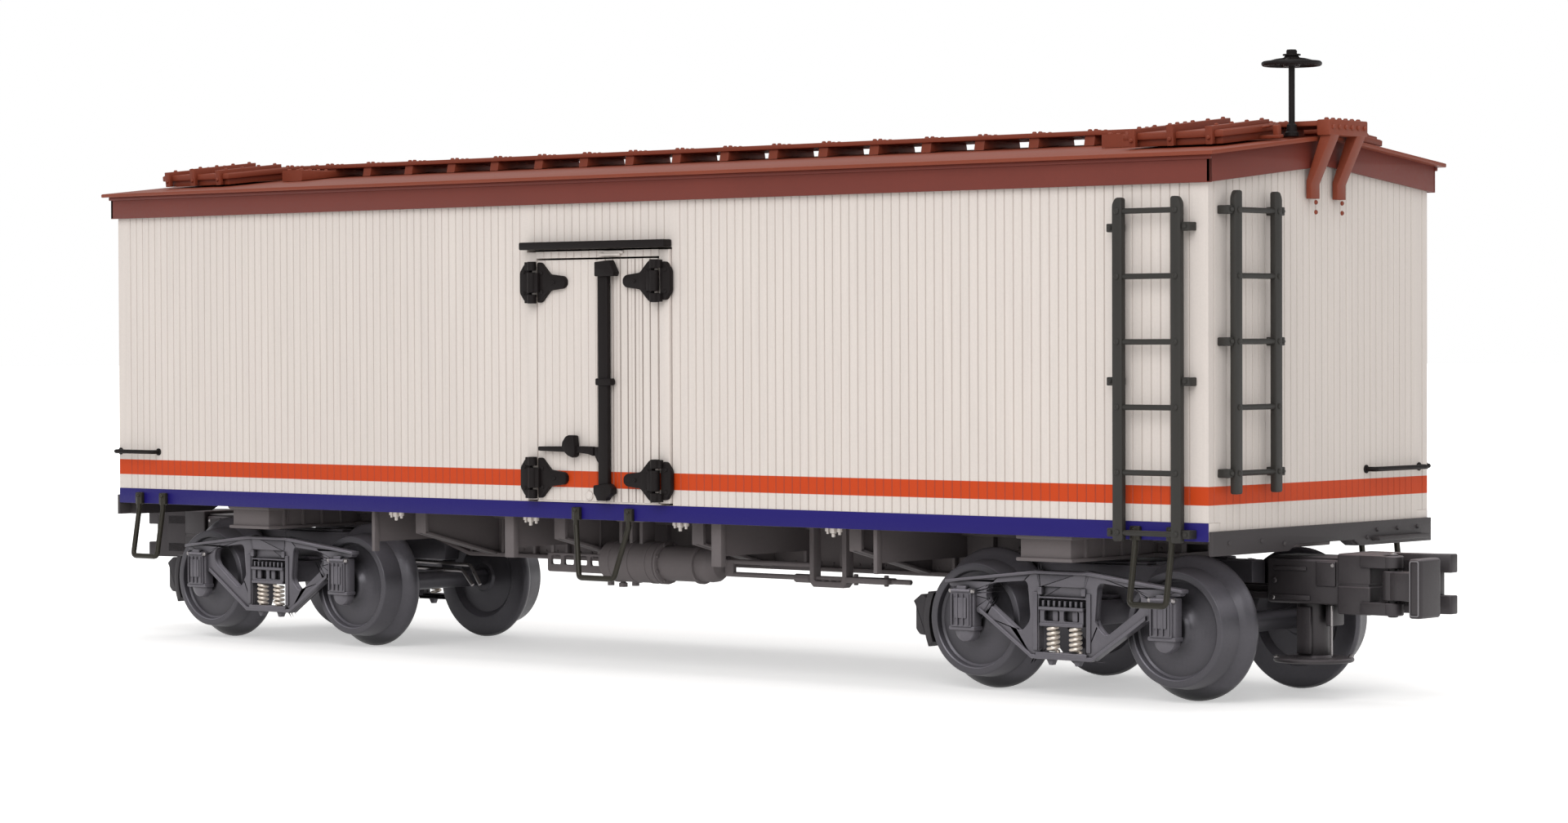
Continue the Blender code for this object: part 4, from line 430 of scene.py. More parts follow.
def bentBar(points, radius, bend, sidesRound=12):
    # a bar swept along a polyline with rounded bends
    points = [Vector(point) for point in points]
    bm = bmesh.new()
    bmesh.ops.create_circle(bm, cap_ends=True, radius=radius, segments=sidesRound)
    bmesh.ops.transform(bm, matrix=along(points[0], points[1]), verts=bm.verts)
    face, here = bm.faces[:][0], points[0]

    def push(face, way):
        made = bmesh.ops.extrude_face_region(bm, geom=[face])
        bmesh.ops.translate(bm, vec=way, verts=vertsOf(made))
        return next(g for g in made["geom"] if isinstance(g, bmesh.types.BMFace))

    for before, corner, after in zip(points, points[1:], points[2:]):
        a, b = (corner - before).normalized(), (after - corner).normalized()
        angle = a.angle(b)
        trim = bend * math.tan(angle / 2)
        start = corner - a * trim
        face = push(face, start - here)
        inward = (b - a * a.dot(b)).normalized()
        made = bmesh.ops.spin(bm, geom=[face], cent=start + inward * bend, axis=a.cross(b), dvec=(0, 0, 0),
                              angle=angle, steps=4, use_merge=False, use_duplicate=False)["geom_last"]
        face = next(g for g in made if isinstance(g, bmesh.types.BMFace))
        here = corner + b * trim
    push(face, points[-1] - here)
    bmesh.ops.recalc_face_normals(bm, faces=bm.faces)
    return bm


def coil(radius, wire, low, high, turns):
    # a helical spring round Z
    bm = bmesh.new()
    bmesh.ops.create_circle(bm, cap_ends=True, radius=wire, segments=8)
    bmesh.ops.transform(bm, matrix=moveTo(radius, 0, low, 90), verts=bm.verts)
    steps = int(turns * 16)
    bmesh.ops.spin(bm, geom=bm.faces[:], cent=(0, 0, 0), axis=(0, 0, 1), dvec=(0, 0, (high - low) / steps),
                   angle=2 * math.pi * turns, steps=steps, use_merge=False, use_duplicate=False)
    bmesh.ops.recalc_face_normals(bm, faces=bm.faces)
    return bm


def finishPieces(places, smooth=32.0, paints=None, **shapes):
    # the pieces of each place in turn, each named by its kind and place
    for where, place in places.items():
        tail, ahead = "_" + where if where else "", "rear" if where.startswith("left") else "front"
        for kind, bm in shapes.items():
            ownPaint, slotName, body, node = dressed[kind]
            shape = put(bmesh.new(), bm.copy(), Matrix.Scale(1 / mm, 4) @ place)
            mesh = bpy.data.meshes.new(kind + tail)
            shape.to_mesh(mesh)
            shape.free()
            mesh.materials.append(paint[(paints or {}).get(kind, ownPaint)])
            mesh.shade_smooth()
            mesh.set_sharp_from_angle(angle=math.radians(smooth))
            piece = newObject(kind + tail, mesh)
            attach(piece, body.format(where=where, end=where.split("_")[-1], ahead=ahead, behind=otherEnd[ahead]))
            if node:
                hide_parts(node + tail)


print("shape helpers ready")

# Walls of narrow boards, with the plain sill board under them
walls = {"thickness": 2.0, "boardPitch": 1.6, "groove": (0.26, 0.16), "top": 53.0, "sillHeight": 2.6,
         "sillThickness": 2.8, "sillProud": 0.10, "openingHalf": 15.5, "openingTop": 42.35, "endThickness": 1.6,
         "endInner": 25.6, "endLow": 1.4, "endSillLow": -2.0, "endSillProud": 0.7, "notch": -1.1}


def boarded(x, z, face, back, count, width, depth):
    # a panel whose face looks to -Y, with V grooves between its boards
    bm = bmesh.new()
    bmesh.ops.create_grid(bm, x_segments=count, y_segments=1, size=0.5)
    bmesh.ops.scale(bm, vec=(x[1] - x[0], z[1] - z[0], 1), verts=bm.verts)
    bmesh.ops.translate(bm, vec=((x[0] + x[1]) / 2, (z[0] + z[1]) / 2, 0), verts=bm.verts)
    pitch = (x[1] - x[0]) / count
    eased(bm, [e for e in bm.edges if abs(e.verts[0].co.x - e.verts[1].co.x) < 1e-3 and not e.is_boundary],
          width / 2)
    for corner in bm.verts:
        place = (corner.co.x - x[0]) / pitch
        if 0.5 < place < count - 0.5 and abs(place - round(place)) * pitch < width / 4:
            corner.co.z = -depth
    for corner in vertsOf(bmesh.ops.extrude_face_region(bm, geom=bm.faces[:])):
        corner.co.z = face - back
    bmesh.ops.recalc_face_normals(bm, faces=bm.faces)
    bmesh.ops.transform(bm, matrix=moveTo(0, face) @ faceMatrix["Y"], verts=bm.verts)
    return bm


def makeWalls():
    w = walls
    corner, opening, inner, pitch = wallEnd - w["endThickness"], w["openingHalf"], w["endInner"], w["boardPitch"]
    low, top, side = sill + w["sillHeight"], sill + w["top"], -wallSide
    count = round((corner - opening) / pitch)
    bm = block((-wallEnd, wallEnd), (side - w["sillProud"], side + w["sillThickness"]), (sill, low), 0.12)
    for x, foot, number in (((-corner, -opening), low, count), ((opening, corner), low, count),
                            ((-opening, opening), sill + w["openingTop"], round(2 * opening / pitch))):
        put(bm, boarded(x, (foot, top), side, side + w["thickness"], number, *w["groove"]))
    finishPieces(sides, sideBoards=bm)
    bm = bmesh.new()
    for y, foot, number in (((-inner, inner), sill + w["endLow"], round(2 * inner / pitch)),
                            ((side, -inner), low, 2), ((inner, wallSide), low, 2)):
        put(bm, boarded(y, (foot, top), -wallEnd, -corner, number, *w["groove"]))
    finishPieces(placed(ends, turn(90, "Z")), endBoards=bm)


def makeEndSills():
    w = walls
    face, low, high, notch = wallEnd + w["endSillProud"], sill + w["endSillLow"], sill + w["endLow"], sill + w["notch"]
    loop = [(-wallSide, low), (-9.5, low), (-7.5, notch), (7.5, notch), (9.5, low), (wallSide, low), (wallSide, high),
            (-wallSide, high)]
    bm = joined(plate([loop], "X", wallEnd + 0.02, face, 0, 0.12),
                plate([[(y * 0.915, z) for y, z in loop]], "X", wallEnd - w["thickness"] + 0.3, wallEnd + 0.1),
                block((face - 0.2, face + 1.4), (12.0, 26.0), (sill - 1.4, sill - 0.8), 0.15))
    heads = ((-24.5, -0.3), (-16.5, -0.3), (-10.8, -0.9), (10.8, -0.9), (24.5, 0.2), (19.0, 0.2), (13.5, 0.2))
    put(bm, boltHead(0.32, 0.28), *[moveTo(face, y, sill + z, 90, "Y") for y, z in heads])
    finishPieces(ends, endSill=bm)


makeWalls()
makeEndSills()
print("walls made")

# Doorways: casing, hinges, two boarded leaves, and the lock on them
doors = {"half": 13.1, "low": 2.9, "top": 41.0, "casingWidth": 2.1, "casingTop": 42.05, "casingProud": 0.4,
         "leafThickness": 2.0, "leafBoards": 8, "hingeHeights": (6.4, 37.2), "hingeHalf": 3.3, "pinY": 29.85,
         "pinRadius": 0.75, "plateThickness": 0.8, "rodX": 2.25, "rodWidth": 2.1, "rodThickness": 1.0,
         "handleHeight": 11.0, "guideHeight": 21.6, "latchX": -4.7}
doorFace = -wallSide - doors["casingProud"]
doorLow, doorTop = sill + doors["low"], sill + doors["top"]


def makeCasings():
    d = doors
    half, casingTop, back = d["half"], sill + d["casingTop"], -wallSide + 2.0
    bm = boarded((-half, half), (doorTop, casingTop), doorFace, back, 16, 0.2, 0.12)
    put(bm, block((half, half + d["casingWidth"]), (doorFace, back), (doorLow, casingTop), 0.14), *bothEnds)
    # the boss over the rod, and the threshold
    putBlocks(bm, ((0.9, 5.2), (doorFace - 0.45, doorFace + 0.1), (doorTop + 0.12, doorTop + 0.62), 0.16),
              ((1.6, 5.8), (doorFace - 0.3, doorFace + 0.1), (doorTop + 0.5, doorTop + 1.0), 0.14),
              ((-half, half), (doorFace + 0.1, back), (doorLow - 0.28, doorLow - 0.02), 0.05))
    hinges = [moveTo(z=sill + height) @ flip for flip in bothEnds for height in d["hingeHeights"]]
    finishPieces(sides, doorCasing=bm, fixedHinges=put(bmesh.new(), fixedHinge(), *hinges))


def hingeEar(reach, low, high):
    # a length of barrel round the pin with its tail to the plate
    half, y, r = doors["half"], -doors["pinY"], doors["pinRadius"]
    profile = [(0, low), (r - 0.08, low), (r, low + 0.08), (r, high - 0.08), (r - 0.08, high), (0, high)]
    return joined(moved(lathe(profile, 16), moveTo(half, y)),
                  block((half, half + reach), (y - 0.28, y + 0.42), (low + 0.05, high - 0.05), 0.1))


def hingePlate(shape, corner, *heads):
    front = doorFace - doors["plateThickness"]
    return put(plate([shape], "Y", front, doorFace + 0.1, corner, 0.16), boltHead(0.34, 0.2),
               *[moveTo(x, front, z, 90) for x, z in heads])


def fixedHinge():
    d = doors
    inner, outer, half = d["half"] + d["pinRadius"] + 0.15, d["half"] + 2.95, d["hingeHalf"] - 0.35
    bm = hingePlate([(inner, -half), (outer - 1.0, -half), (outer, -half + 1.3), (outer, half - 1.3),
                     (outer - 1.0, half), (inner, half)], 0.3, (outer - 0.95, -1.7), (outer - 0.95, 1.7))
    for low, high in ((-d["hingeHalf"], -1.9), (1.9, d["hingeHalf"])):
        put(bm, hingeEar(1.4, low, high))
    return bm


def movingHinge():
    # the knuckle between the ears, its plate and the tapered strap, for the leaf at +X
    start, half = doors["half"] - doors["pinRadius"] - 0.15, doors["hingeHalf"]
    upper = [(start, half - 0.1), (start - 0.6, half - 0.15), (start - 2.5, 1.3), (6.7, 0.95), (6.15, 0.42)]
    return put(hingePlate(upper + [(x, -z) for x, z in reversed(upper)], 0.25, (start - 1.0, 1.5),
                          (start - 1.0, -1.5), (start - 3.6, 0)), hingeEar(-1.5, -1.6, 1.6))


def makeLeaves():
    d = doors
    low, top = doorLow, doorTop - 0.3
    for end, flip, paintName, groove in (("front", still, "leafPaint", (0.30, 0.26)),
                                         ("rear", mirrorX, "wallPaint", (0.22, 0.12))):
        leaf = boarded((0.3, d["half"] - 0.3), (low, top), doorFace, doorFace + d["leafThickness"], d["leafBoards"],
                       *groove)
        # a lip nearly meets the other leaf's
        put(leaf, block((0.06, 0.5), (doorFace + 0.03, doorFace + 0.5), (low + 0.05, top - 0.05)))
        if end == "front":         # narrow shadow lines close together on this leaf
            put(leaf, block((-0.07, 0.07), (doorFace - 0.06, doorFace + 0.1), (low + 0.1, top - 0.1), 0.03),
                *[moveTo(x) for x in (4.2, 7.35, 8.9)])
        else:                      # a plug in the lower free corner
            put(leaf, boltHead(0.75, 0.35, 14), moveTo(1.7, doorFace, sill + 3.75, 90))
        places = {"right_" + end: flip, "left_" + otherEnd[end]: halfTurn @ flip}
        straps = put(bmesh.new(), movingHinge(), *[moveTo(z=sill + height) for height in d["hingeHeights"]])
        finishPieces(places, paints={"doorLeaf": paintName}, doorLeaf=leaf, hingeStraps=straps)


def makeLocks():
    d = doors
    low, top, back, x, z = doorLow, doorTop - 0.3, doorFace - 0.3, d["rodX"], sill + d["handleHeight"]
    front, half, guide, a = back - d["rodThickness"], d["rodWidth"] / 2, sill + d["guideHeight"], d["latchX"]
    left = x - half - 0.15
    rod = block((x - half, x + half), (front, back), (low + 1.4, top - 1.2), 0.28, 3)
    putPlate(rod, [(left, top - 2.7), (left + 4.0, top - 2.7), (left + 4.2, top - 2.1), (left + 3.1, top - 0.2),
                   (left, top - 0.45)], "Y", front - 0.5, back - 0.1, 0.16, 0.2)
    putPlate(rod, [(x - 1.6, low + 2.6), (x + 1.5, low + 2.9), (x + 2.3, low + 2.2), (x + 2.3, low + 1.3),
                   (x + 1.2, low + 0.75), (x + 0.9, low + 0.2), (x - 0.9, low + 0.2), (x - 1.1, low + 0.75),
                   (x - 1.6, low + 1.3)], "Y", front - 0.5, back - 0.1, 0.22, 0.2)
    putPlate(rod, [(0.45, z + 0.45), (x - half + 0.3, z + 0.5), (x - half + 0.3, z - 2.3), (x - half - 0.3, z - 1.7),
                   (0.45, z - 0.9)], "Y", back - 0.9, back - 0.1, 0.12, 0.12)
    putPlate(rod, [(left, guide - 0.55), (x + 1.9, guide - 0.55), (x + 2.1, guide), (x + 1.9, guide + 0.55),
                   (left, guide + 0.55)], "Y", front - 0.35, back - 0.1, 0.2, 0.18)
    # the handle runs into the rod with a curve under it, and its latch stands over it
    handle = plate([[(-11.8, z - 0.32), (-11.8, z + 0.36), (-2.6, z + 0.52), (0.15, z + 0.5), (0.15, z - 1.0),
                     (-1.0, z - 0.7), (-3.2, z - 0.5)]], "Y", back - 0.9, back - 0.1, 0.18, 0.14)
    putPlate(handle, [(a - 1.6, z + 0.35), (a - 1.5, z + 1.1), (a - 0.8, z + 2.0), (a - 0.2, z + 2.25),
                      (a + 1.0, z + 2.2), (a + 1.2, z + 0.5), (a + 1.3, z - 0.4), (a + 1.1, z - 1.1),
                      (a + 0.7, z - 1.3), (a - 0.3, z - 1.0), (a - 1.1, z - 0.4)], "Y", back - 1.35, back - 0.05,
             0.16, 0.22)
    rail = block((-15.5, 15.5), (-wallSide - 2.0, -wallSide - 0.02), (sill + 42.35, sill + 43.55), 0.22, 3)
    finishPieces(sides, lockRod=rod, doorHandle=handle, dripRail=rail)


makeCasings()
makeLeaves()
makeLocks()
print("doors made")

# Roof: fascia, sheet, running board on its saddles, hatches and brake staff
roofs = {"ridge": 57.0, "halfWidth": 30.5, "halfLength": 117.0, "sheet": 0.6, "slope": 3.2 / 30.5,
         "fasciaX": 115.8, "fasciaY": 29.3, "fasciaThickness": 0.6, "fasciaLow": 49.5}
boards = {"top": 58.8, "thickness": 0.7, "halfWidth": 4.8, "planks": 4, "gap": 0.22, "halfLength": 119.5,
          "saddlePitch": 10.3, "saddleCount": 22, "saddleLength": 1.9, "saddleHalf": 4.4, "cleatLength": 2.2,
          "cleatDepth": 2.1, "wideX": 87.7, "wideLength": 5.0, "wideHalf": 12.5, "braceY": 3.4, "braceWidth": 2.3}
hatches = {"x": 103.5, "half": 8.0, "near": 7.0, "width": 13.0, "curb": 1.0, "cover": 0.9, "lip": 0.6, "planks": 5,
           "battenWidth": 1.2, "battenHeight": 0.7, "battenSpread": 6.6}
staff = {"x": 114.0, "y": -6.3, "radius": 0.45, "top": 68.6, "wheelRadius": 4.3, "wheelHeight": 66.9, "rim": 0.36,
         "spokes": 5}


def roofTop(y):
    return sill + roofs["ridge"] - roofs["slope"] * abs(y)


def makeRoof():
    r = roofs
    half, y, x, t, low = r["halfWidth"], r["fasciaY"], r["fasciaX"], r["fasciaThickness"], sill + r["fasciaLow"]
    gable = [(v, roofTop(v) - r["sheet"]) for v in (-half, 0, half)] + [(v, roofTop(v)) for v in (half, 0, -half)]
    sheet = plate([gable], "X", -r["halfLength"], r["halfLength"])
    finishPieces(whole, roofSheet=eased(sheet, sharpEdges(sheet, math.radians(40)), 0.16))
    bm, top = bmesh.new(), roofTop(y)
    put(bm, block((-x, x), (y - t, y), (low, top - 0.3), 0.1), *bothSides)
    loop = [(-y, low), (0, low + r["slope"] * y), (y, low), (y, top - 0.3), (0, roofTop(0) - 0.3), (-y, top - 0.3)]
    put(bm, plate([loop], "X", x - t, x, 0, 0.1), *bothEnds)
    # thin moulding along the top of the fascia
    put(bm, block((-x - 0.25, x + 0.25), (y - 0.2, y + 0.3), (top - 1.25, top - 0.65), 0.12), *bothSides)
    finishPieces(whole, fascia=bm)


def endBrace():
    b = boards
    wall, reach = wallEnd + 0.3, b["halfLength"] - 0.9
    bend = sill + roofs["fasciaLow"] + roofs["slope"] * (roofs["fasciaY"] - b["braceY"]) - 1.9
    foot, top, half = bend - 2.5, sill + b["top"] - b["cleatDepth"] + 0.2, b["braceWidth"] / 2
    shape = [(wall, foot), (wall, bend), (reach - 0.9, top), (reach + 0.9, top), (wall + 0.9, bend - 0.45),
             (wall + 0.9, foot)]
    return plate([shape], "Y", b["braceY"] - half, b["braceY"] + half, 0, 0.18)


def makeRunningBoard():
    b = boards
    top, half, wide, reach, x = sill + b["top"], b["saddleHalf"], b["wideHalf"], b["halfLength"], b["wideX"]
    low, high = top - b["thickness"], roofTop(wide) + 2.0
    width = (2 * b["halfWidth"] - (b["planks"] - 1) * b["gap"]) / b["planks"]
    bm = put(bmesh.new(), block((-reach + 0.1, reach - 0.1), (0, width), (low, top), 0.1),
             *[moveTo(0, index * (width + b["gap"]) - b["halfWidth"]) for index in range(b["planks"])])
    stations = [(index - (b["saddleCount"] - 1) / 2) * b["saddlePitch"] for index in range(b["saddleCount"])]
    loop = [(-half, low), (half, low), (half + 0.3, roofTop(half) + 0.05), (0, roofTop(0) + 0.05),
            (-half - 0.3, roofTop(half) + 0.05)]
    length = b["saddleLength"] / 2
    put(bm, plate([loop], "X", -length, length, 0, 0.14),
        *[moveTo(v) for v in stations if abs(abs(v) - x) > length + b["wideLength"] / 2])
    loop = [(-wide, high), (-half, high), (-half, low), (half, low), (half, high), (wide, high),
            (wide, roofTop(wide) + 0.05), (0, roofTop(0) + 0.05), (-wide, roofTop(wide) + 0.05)]
    put(bm, plate([loop], "X", x - b["wideLength"] / 2, x + b["wideLength"] / 2, 0, 0.2), *bothEnds)
    # cleat over the ends of the planks
    put(bm, block((reach - b["cleatLength"], reach), (-5.0, 5.0), (top - b["cleatDepth"], top + 0.15), 0.2),
        *bothEnds)
    put(bm, endBrace(), *fourWays)
    heads = [moveTo(v + shift, y, top) for v in stations for y in (-3.6, -1.2, 1.2, 3.6) for shift in (-0.55, 0.55)]
    cornerHeads = [moveTo(x + shift, y, high) for y in (5.8, 7.6, 9.6, 11.6) for shift in (-1.5, 1.5)]
    for y in (0.8, 2.45, 4.1):
        cornerHeads += [moveTo(reach, y, top - 0.9, 90, "Y"), moveTo(reach - 1.1, y, top + 0.15)]
    put(bm, boltHead(0.36, 0.3), *heads, *[flip @ place for flip in fourWays for place in cornerHeads])
    put(bm, boltHead(0.34, 0.26), *[flip @ moveTo(wallEnd + 1.2, b["braceY"], sill + z, 90, "Y")
                                    for flip in fourWays for z in (45.9, 47.3)])
    finishPieces(whole, runningBoard=bm)


def makeHatches():
    # the hatch at +X on the left, level, its near edge from the ridge, then all four on the slope
    h = hatches
    u0, u1, v0, v1 = h["x"] - h["half"], h["x"] + h["half"], h["near"], h["near"] + h["width"]
    low, lip, tip = 0.3 + h["curb"], h["lip"], h["near"] + h["width"] + h["lip"]
    top, hasp = low + h["cover"], v0 + h["width"] / 4
    bm = joined(block((u0, u1), (v0, v1), (0.3, low + 0.1), 0.12),
                block((u0 - lip, u1 + lip), (v0 - lip, tip), (low, top), 0.16))
    pitch = (u1 - u0 + 2 * lip - 0.4) / h["planks"]
    put(bm, block((0.06, pitch - 0.06), (v0 - lip + 0.15, tip - 0.15), (top - 0.2, top + 0.09), 0.06),
        *[moveTo(u0 - lip + 0.2 + index * pitch) for index in range(h["planks"])])
    for index in (-1, 0, 1):
        x, half = h["x"] + index * h["battenSpread"], h["battenWidth"] / 2
        high = top + h["battenHeight"] * (1.6 if index == 0 else 1)
        putPlate(bm, [(v0 - lip / 2, top - 0.2), (tip - 0.1, top - 0.2), (tip - 0.1, 0.35), (tip + 0.65, 0.35),
                      (tip + 0.7, high), (v0 - lip / 2, high)], "X", x - half, x + half, 0, 0.16)
        put(bm, boltHead(0.33, 0.26), *[moveTo(x, v0 + v, high) for v in (0.8, 4.6, 8.4, 12.2)],
            moveTo(x, tip + 0.68, 1.3, -90))
    putBlocks(bm, ((u1 - 0.2, u1 + 3.4), (hasp - 0.6, hasp + 0.6), (0.3, 0.8), 0.14),
              ((u1 + 2.2, u1 + 3.2), (hasp - 0.45, hasp + 0.45), (0.5, top), 0.2, 3))
    put(bm, bentBar([(u1 + lip - 0.2, hasp - 0.5, top - 0.3), (u1 + 1.6, hasp - 0.5, top - 0.1),
                     (u1 + 1.6, hasp + 0.5, top - 0.1), (u1 + lip - 0.2, hasp + 0.5, top - 0.3)], 0.16, 0.25, 8))
    places = {"left_front": still, "right_front": mirrorY, "right_rear": halfTurn, "left_rear": halfTurn @ mirrorY}
    slope = math.degrees(math.atan(roofs["slope"]))
    finishPieces(placed(places, moveTo(0, 0, sill + roofs["ridge"], -slope)), iceHatch=bm)


def makeStaff():
    s = staff
    x, y, rim, radius, top, base = s["x"], s["y"], s["rim"], s["wheelRadius"], sill + s["top"], roofTop(s["y"]) + 0.3
    bm = moved(lathe([(0, 0), (1.0, 0), (1.0, 0.5), (0.75, 0.7), (0.7, 1.6), (0.5, 1.8), (0, 1.8)], 16),
               moveTo(x, y, base))
    put(bm, bar((x, y, base + 0.9), (x, y, top), s["radius"], 14))
    angles = [math.pi * index / 5 for index in range(11)]
    wheel = lathe([(radius - rim + rim * math.cos(a), rim * math.sin(a)) for a in angles], 40)
    put(wheel, lathe([(0, -0.4), (1.1, -0.4), (1.25, -0.1), (1.2, 0.8), (0.8, 1.3), (0, 1.3)], 20))
    put(wheel, bentBar([(0, 0, 0.75), ((radius - rim) * 0.55, 0, 0.45), (radius - rim, 0, 0)], 0.28, 1.2, 10),
        *[turn(360 * index / s["spokes"], "Z") for index in range(s["spokes"])])
    put(bm, wheel, moveTo(x, y, sill + s["wheelHeight"]))
    put(bm, nutOnWasher(0.85, 0.8), moveTo(x, y, top - 0.5))
    finishPieces(whole, brakeStaff=bm)


makeRoof()
makeRunningBoard()
makeHatches()
makeStaff()
print("roof made")

# Ladders, grab irons and steps
ladders = {"width": 11.6, "stile": 1.7, "standoff": 1.3, "thickness": 1.0, "rungTop": 45.8, "pitch": 9.1,
           "rungs": 5, "rungRadius": 0.4, "lug": 1.2,
           "side": {"middle": 106.0, "foot": 9.6, "horn": 1.9, "lugs": (43.5, 22.1, 1.0)},
           "end": {"middle": -19.3, "foot": 2.9, "horn": 2.7, "lugs": (45.8, 27.6, 9.4)}}
steps = {"rod": 0.45, "top": 1.8, "drop": 9.0, "lean": 1.4, "shoulder": 0.9, "cornerX": 106.0, "cornerHalf": 3.1,
         "doorX": 1.1, "doorTop": 5.6, "doorTread": 3.7}
grabs = {"radius": 0.35, "standoff": 1.5, "sideX": -109.5, "sideLength": 10.0, "endY": 18.8, "endLength": 14.4,
         "height": 9.0}


def ladder(which):
    # middle at x = 0, in front of a wall at y = 0
    d, own = ladders, ladders[which]
    half, back, front = d["width"] / 2, -d["standoff"], -d["standoff"] - d["thickness"]
    heights = [sill + d["rungTop"] - index * d["pitch"] for index in range(d["rungs"])]
    low, high, inner = heights[-1] - own["foot"], heights[0] + own["horn"], half - d["stile"]
    shape = [(inner, low), (half, low), (half, high - 0.9), (half - 0.55, high), (inner, high)]
    bm = put(bmesh.new(), plate([shape], "Y", front, back, 0.35, 0.16), *bothEnds)
    for z in own["lugs"]:
        put(bm, block((half - 0.8, half + d["lug"]), (front + 0.35, -0.02), (sill + z - 0.6, sill + z + 0.6), 0.15),
            *bothEnds)
        put(bm, boltHead(0.36, 0.3), *[flip @ moveTo(half + 0.55, front + 0.35, sill + z, 90) for flip in bothEnds])
    if which == "side":
        heights.append(sill + own["lugs"][-1])
    middle = (back + front) / 2
    put(bm, bar((-half + 0.5, middle, 0), (half - 0.5, middle, 0), d["rungRadius"], 10),
        *[moveTo(z=z) for z in heights])
    put(bm, boltHead(0.42, 0.25), *[flip @ moveTo((half + inner) / 2, front, z, 90) for z in heights
                                    for flip in bothEnds])
    return bm


def grabIron(length):
    half, out = length / 2, -grabs["standoff"]
    bm = bentBar([(-half, -0.02, 0), (-half, out, 0), (half, out, 0), (half, -0.02, 0)], grabs["radius"], 0.6)
    return put(bm, lathe([(0, 0), (0.62, 0), (0.62, 0.16), (0.5, 0.26), (0, 0.26)], 12),
               *[moveTo(x, 0, 0, 90) for x in (-half, half)])


def sillStep(halfTop, halfTread):
    # stirrup of bent rod on two pads, its legs leaning out to the tread
    s = steps
    y, top = -wallSide - s["rod"] - 0.12, sill + s["top"]
    half = [(halfTop, y, top), (halfTop, y, sill - s["shoulder"]), (halfTread, y - s["lean"], sill - s["drop"])]
    bm = bentBar(half + [(-x, v, z) for x, v, z in reversed(half)], s["rod"], 0.7)
    for x in (-halfTop, halfTop):
        put(bm, block((x - 0.85, x + 0.85), (y - 0.25, -wallSide - 0.08), (top - 1.9, top + 0.15), 0.18))
        put(bm, boltHead(0.36, 0.28), moveTo(x, y - 0.3, top - 0.45, 90))
    return bm


def makeFittings():
    s, g = steps, grabs
    ownLadder = moved(ladder("side"), moveTo(ladders["side"]["middle"], -wallSide))
    ownGrab = moved(grabIron(g["sideLength"]), moveTo(g["sideX"], -wallSide, sill + g["height"]))
    doorStep = moved(sillStep(s["doorTop"], s["doorTread"]), moveTo(s["doorX"]))
    cornerStep = sillStep(s["cornerHalf"], s["cornerHalf"])
    for side, place in sides.items():
        finishPieces({side: place}, sideLadder=ownLadder, sideGrab=ownGrab, doorStep=doorStep)
        for end, x in (("front", s["cornerX"]), ("rear", -s["cornerX"])):
            finishPieces({side + "_" + (end if side == "right" else otherEnd[end]): place @ moveTo(x)},
                         cornerStep=cornerStep)
    ownLadder = moved(ladder("end"), moveTo(ladders["end"]["middle"]))
    ownGrab = moved(grabIron(g["endLength"]), moveTo(g["endY"], 0, sill + g["height"]))
    finishPieces(placed(ends, moveTo(wallEnd, 0, 0, 90, "Z")), endLadder=ownLadder, endGrab=ownGrab)


makeFittings()
print("ladders, grab irons and steps made")

# Underframe: fish-bellied centre sill, cross bearers, body bolsters, and the brake gear under the floor
underframe = {"sillHalf": 4.0, "flangeHalf": 5.4, "flange": 0.7, "belly": 8.2, "shallow": 3.9, "deepHalf": 52.0,
              "slope": 14.0, "reach": 94.0, "slabReach": 112.9, "slabDepth": 1.8, "bearers": (14.8, 46.5),
              "bearerHalf": 22.0, "bearerLength": 2.4, "bearerEnd": 3.7, "needles": ((22.15, 1.0), (53.6, 0.35)),
              "needleHalf": 26.0, "needleDepth": 6.7, "bolsterX": 84.5, "bolsterHalf": 25.7, "bolsterLength": 10.0,
              "postPitch": 7.4, "rivetPitch": 2.6, "sillBolts": (-46.6, -15.9, 16.1, 46.8)}
brake = {"y": -13.0, "z": -7.4, "start": -12.5, "joint": 0.0, "head": 8.5, "end": 12.5, "reservoir": 3.3,
         "cylinder": 2.8, "flange": 3.4, "lobe": 2.6, "footX": -6.25, "valve": (-25.9, -13.4, -9.6, -6.5),
         "windows": 4, "valveBar": 0.8, "hanger": (30.6, 38.0, -10.0), "hangerBar": 0.9, "upperRod": -6.7,
         "lowerRod": -8.7, "rod": 0.4, "rodEnd": 50.05, "leverEnd": 46.4}
underTop = sill - 0.05


def bellyAt(x):
    u = underframe
    share = min(max((abs(x) - u["deepHalf"]) / u["slope"], 0.0), 1.0)
    return sill - u["belly"] + share * (u["belly"] - u["shallow"])


def bellyLine(half, raised=0.0):
    u = underframe
    stations = [half, u["deepHalf"] + u["slope"], u["deepHalf"]]
    return [(x, bellyAt(x) + raised) for x in stations + [-x for x in reversed(stations)]]


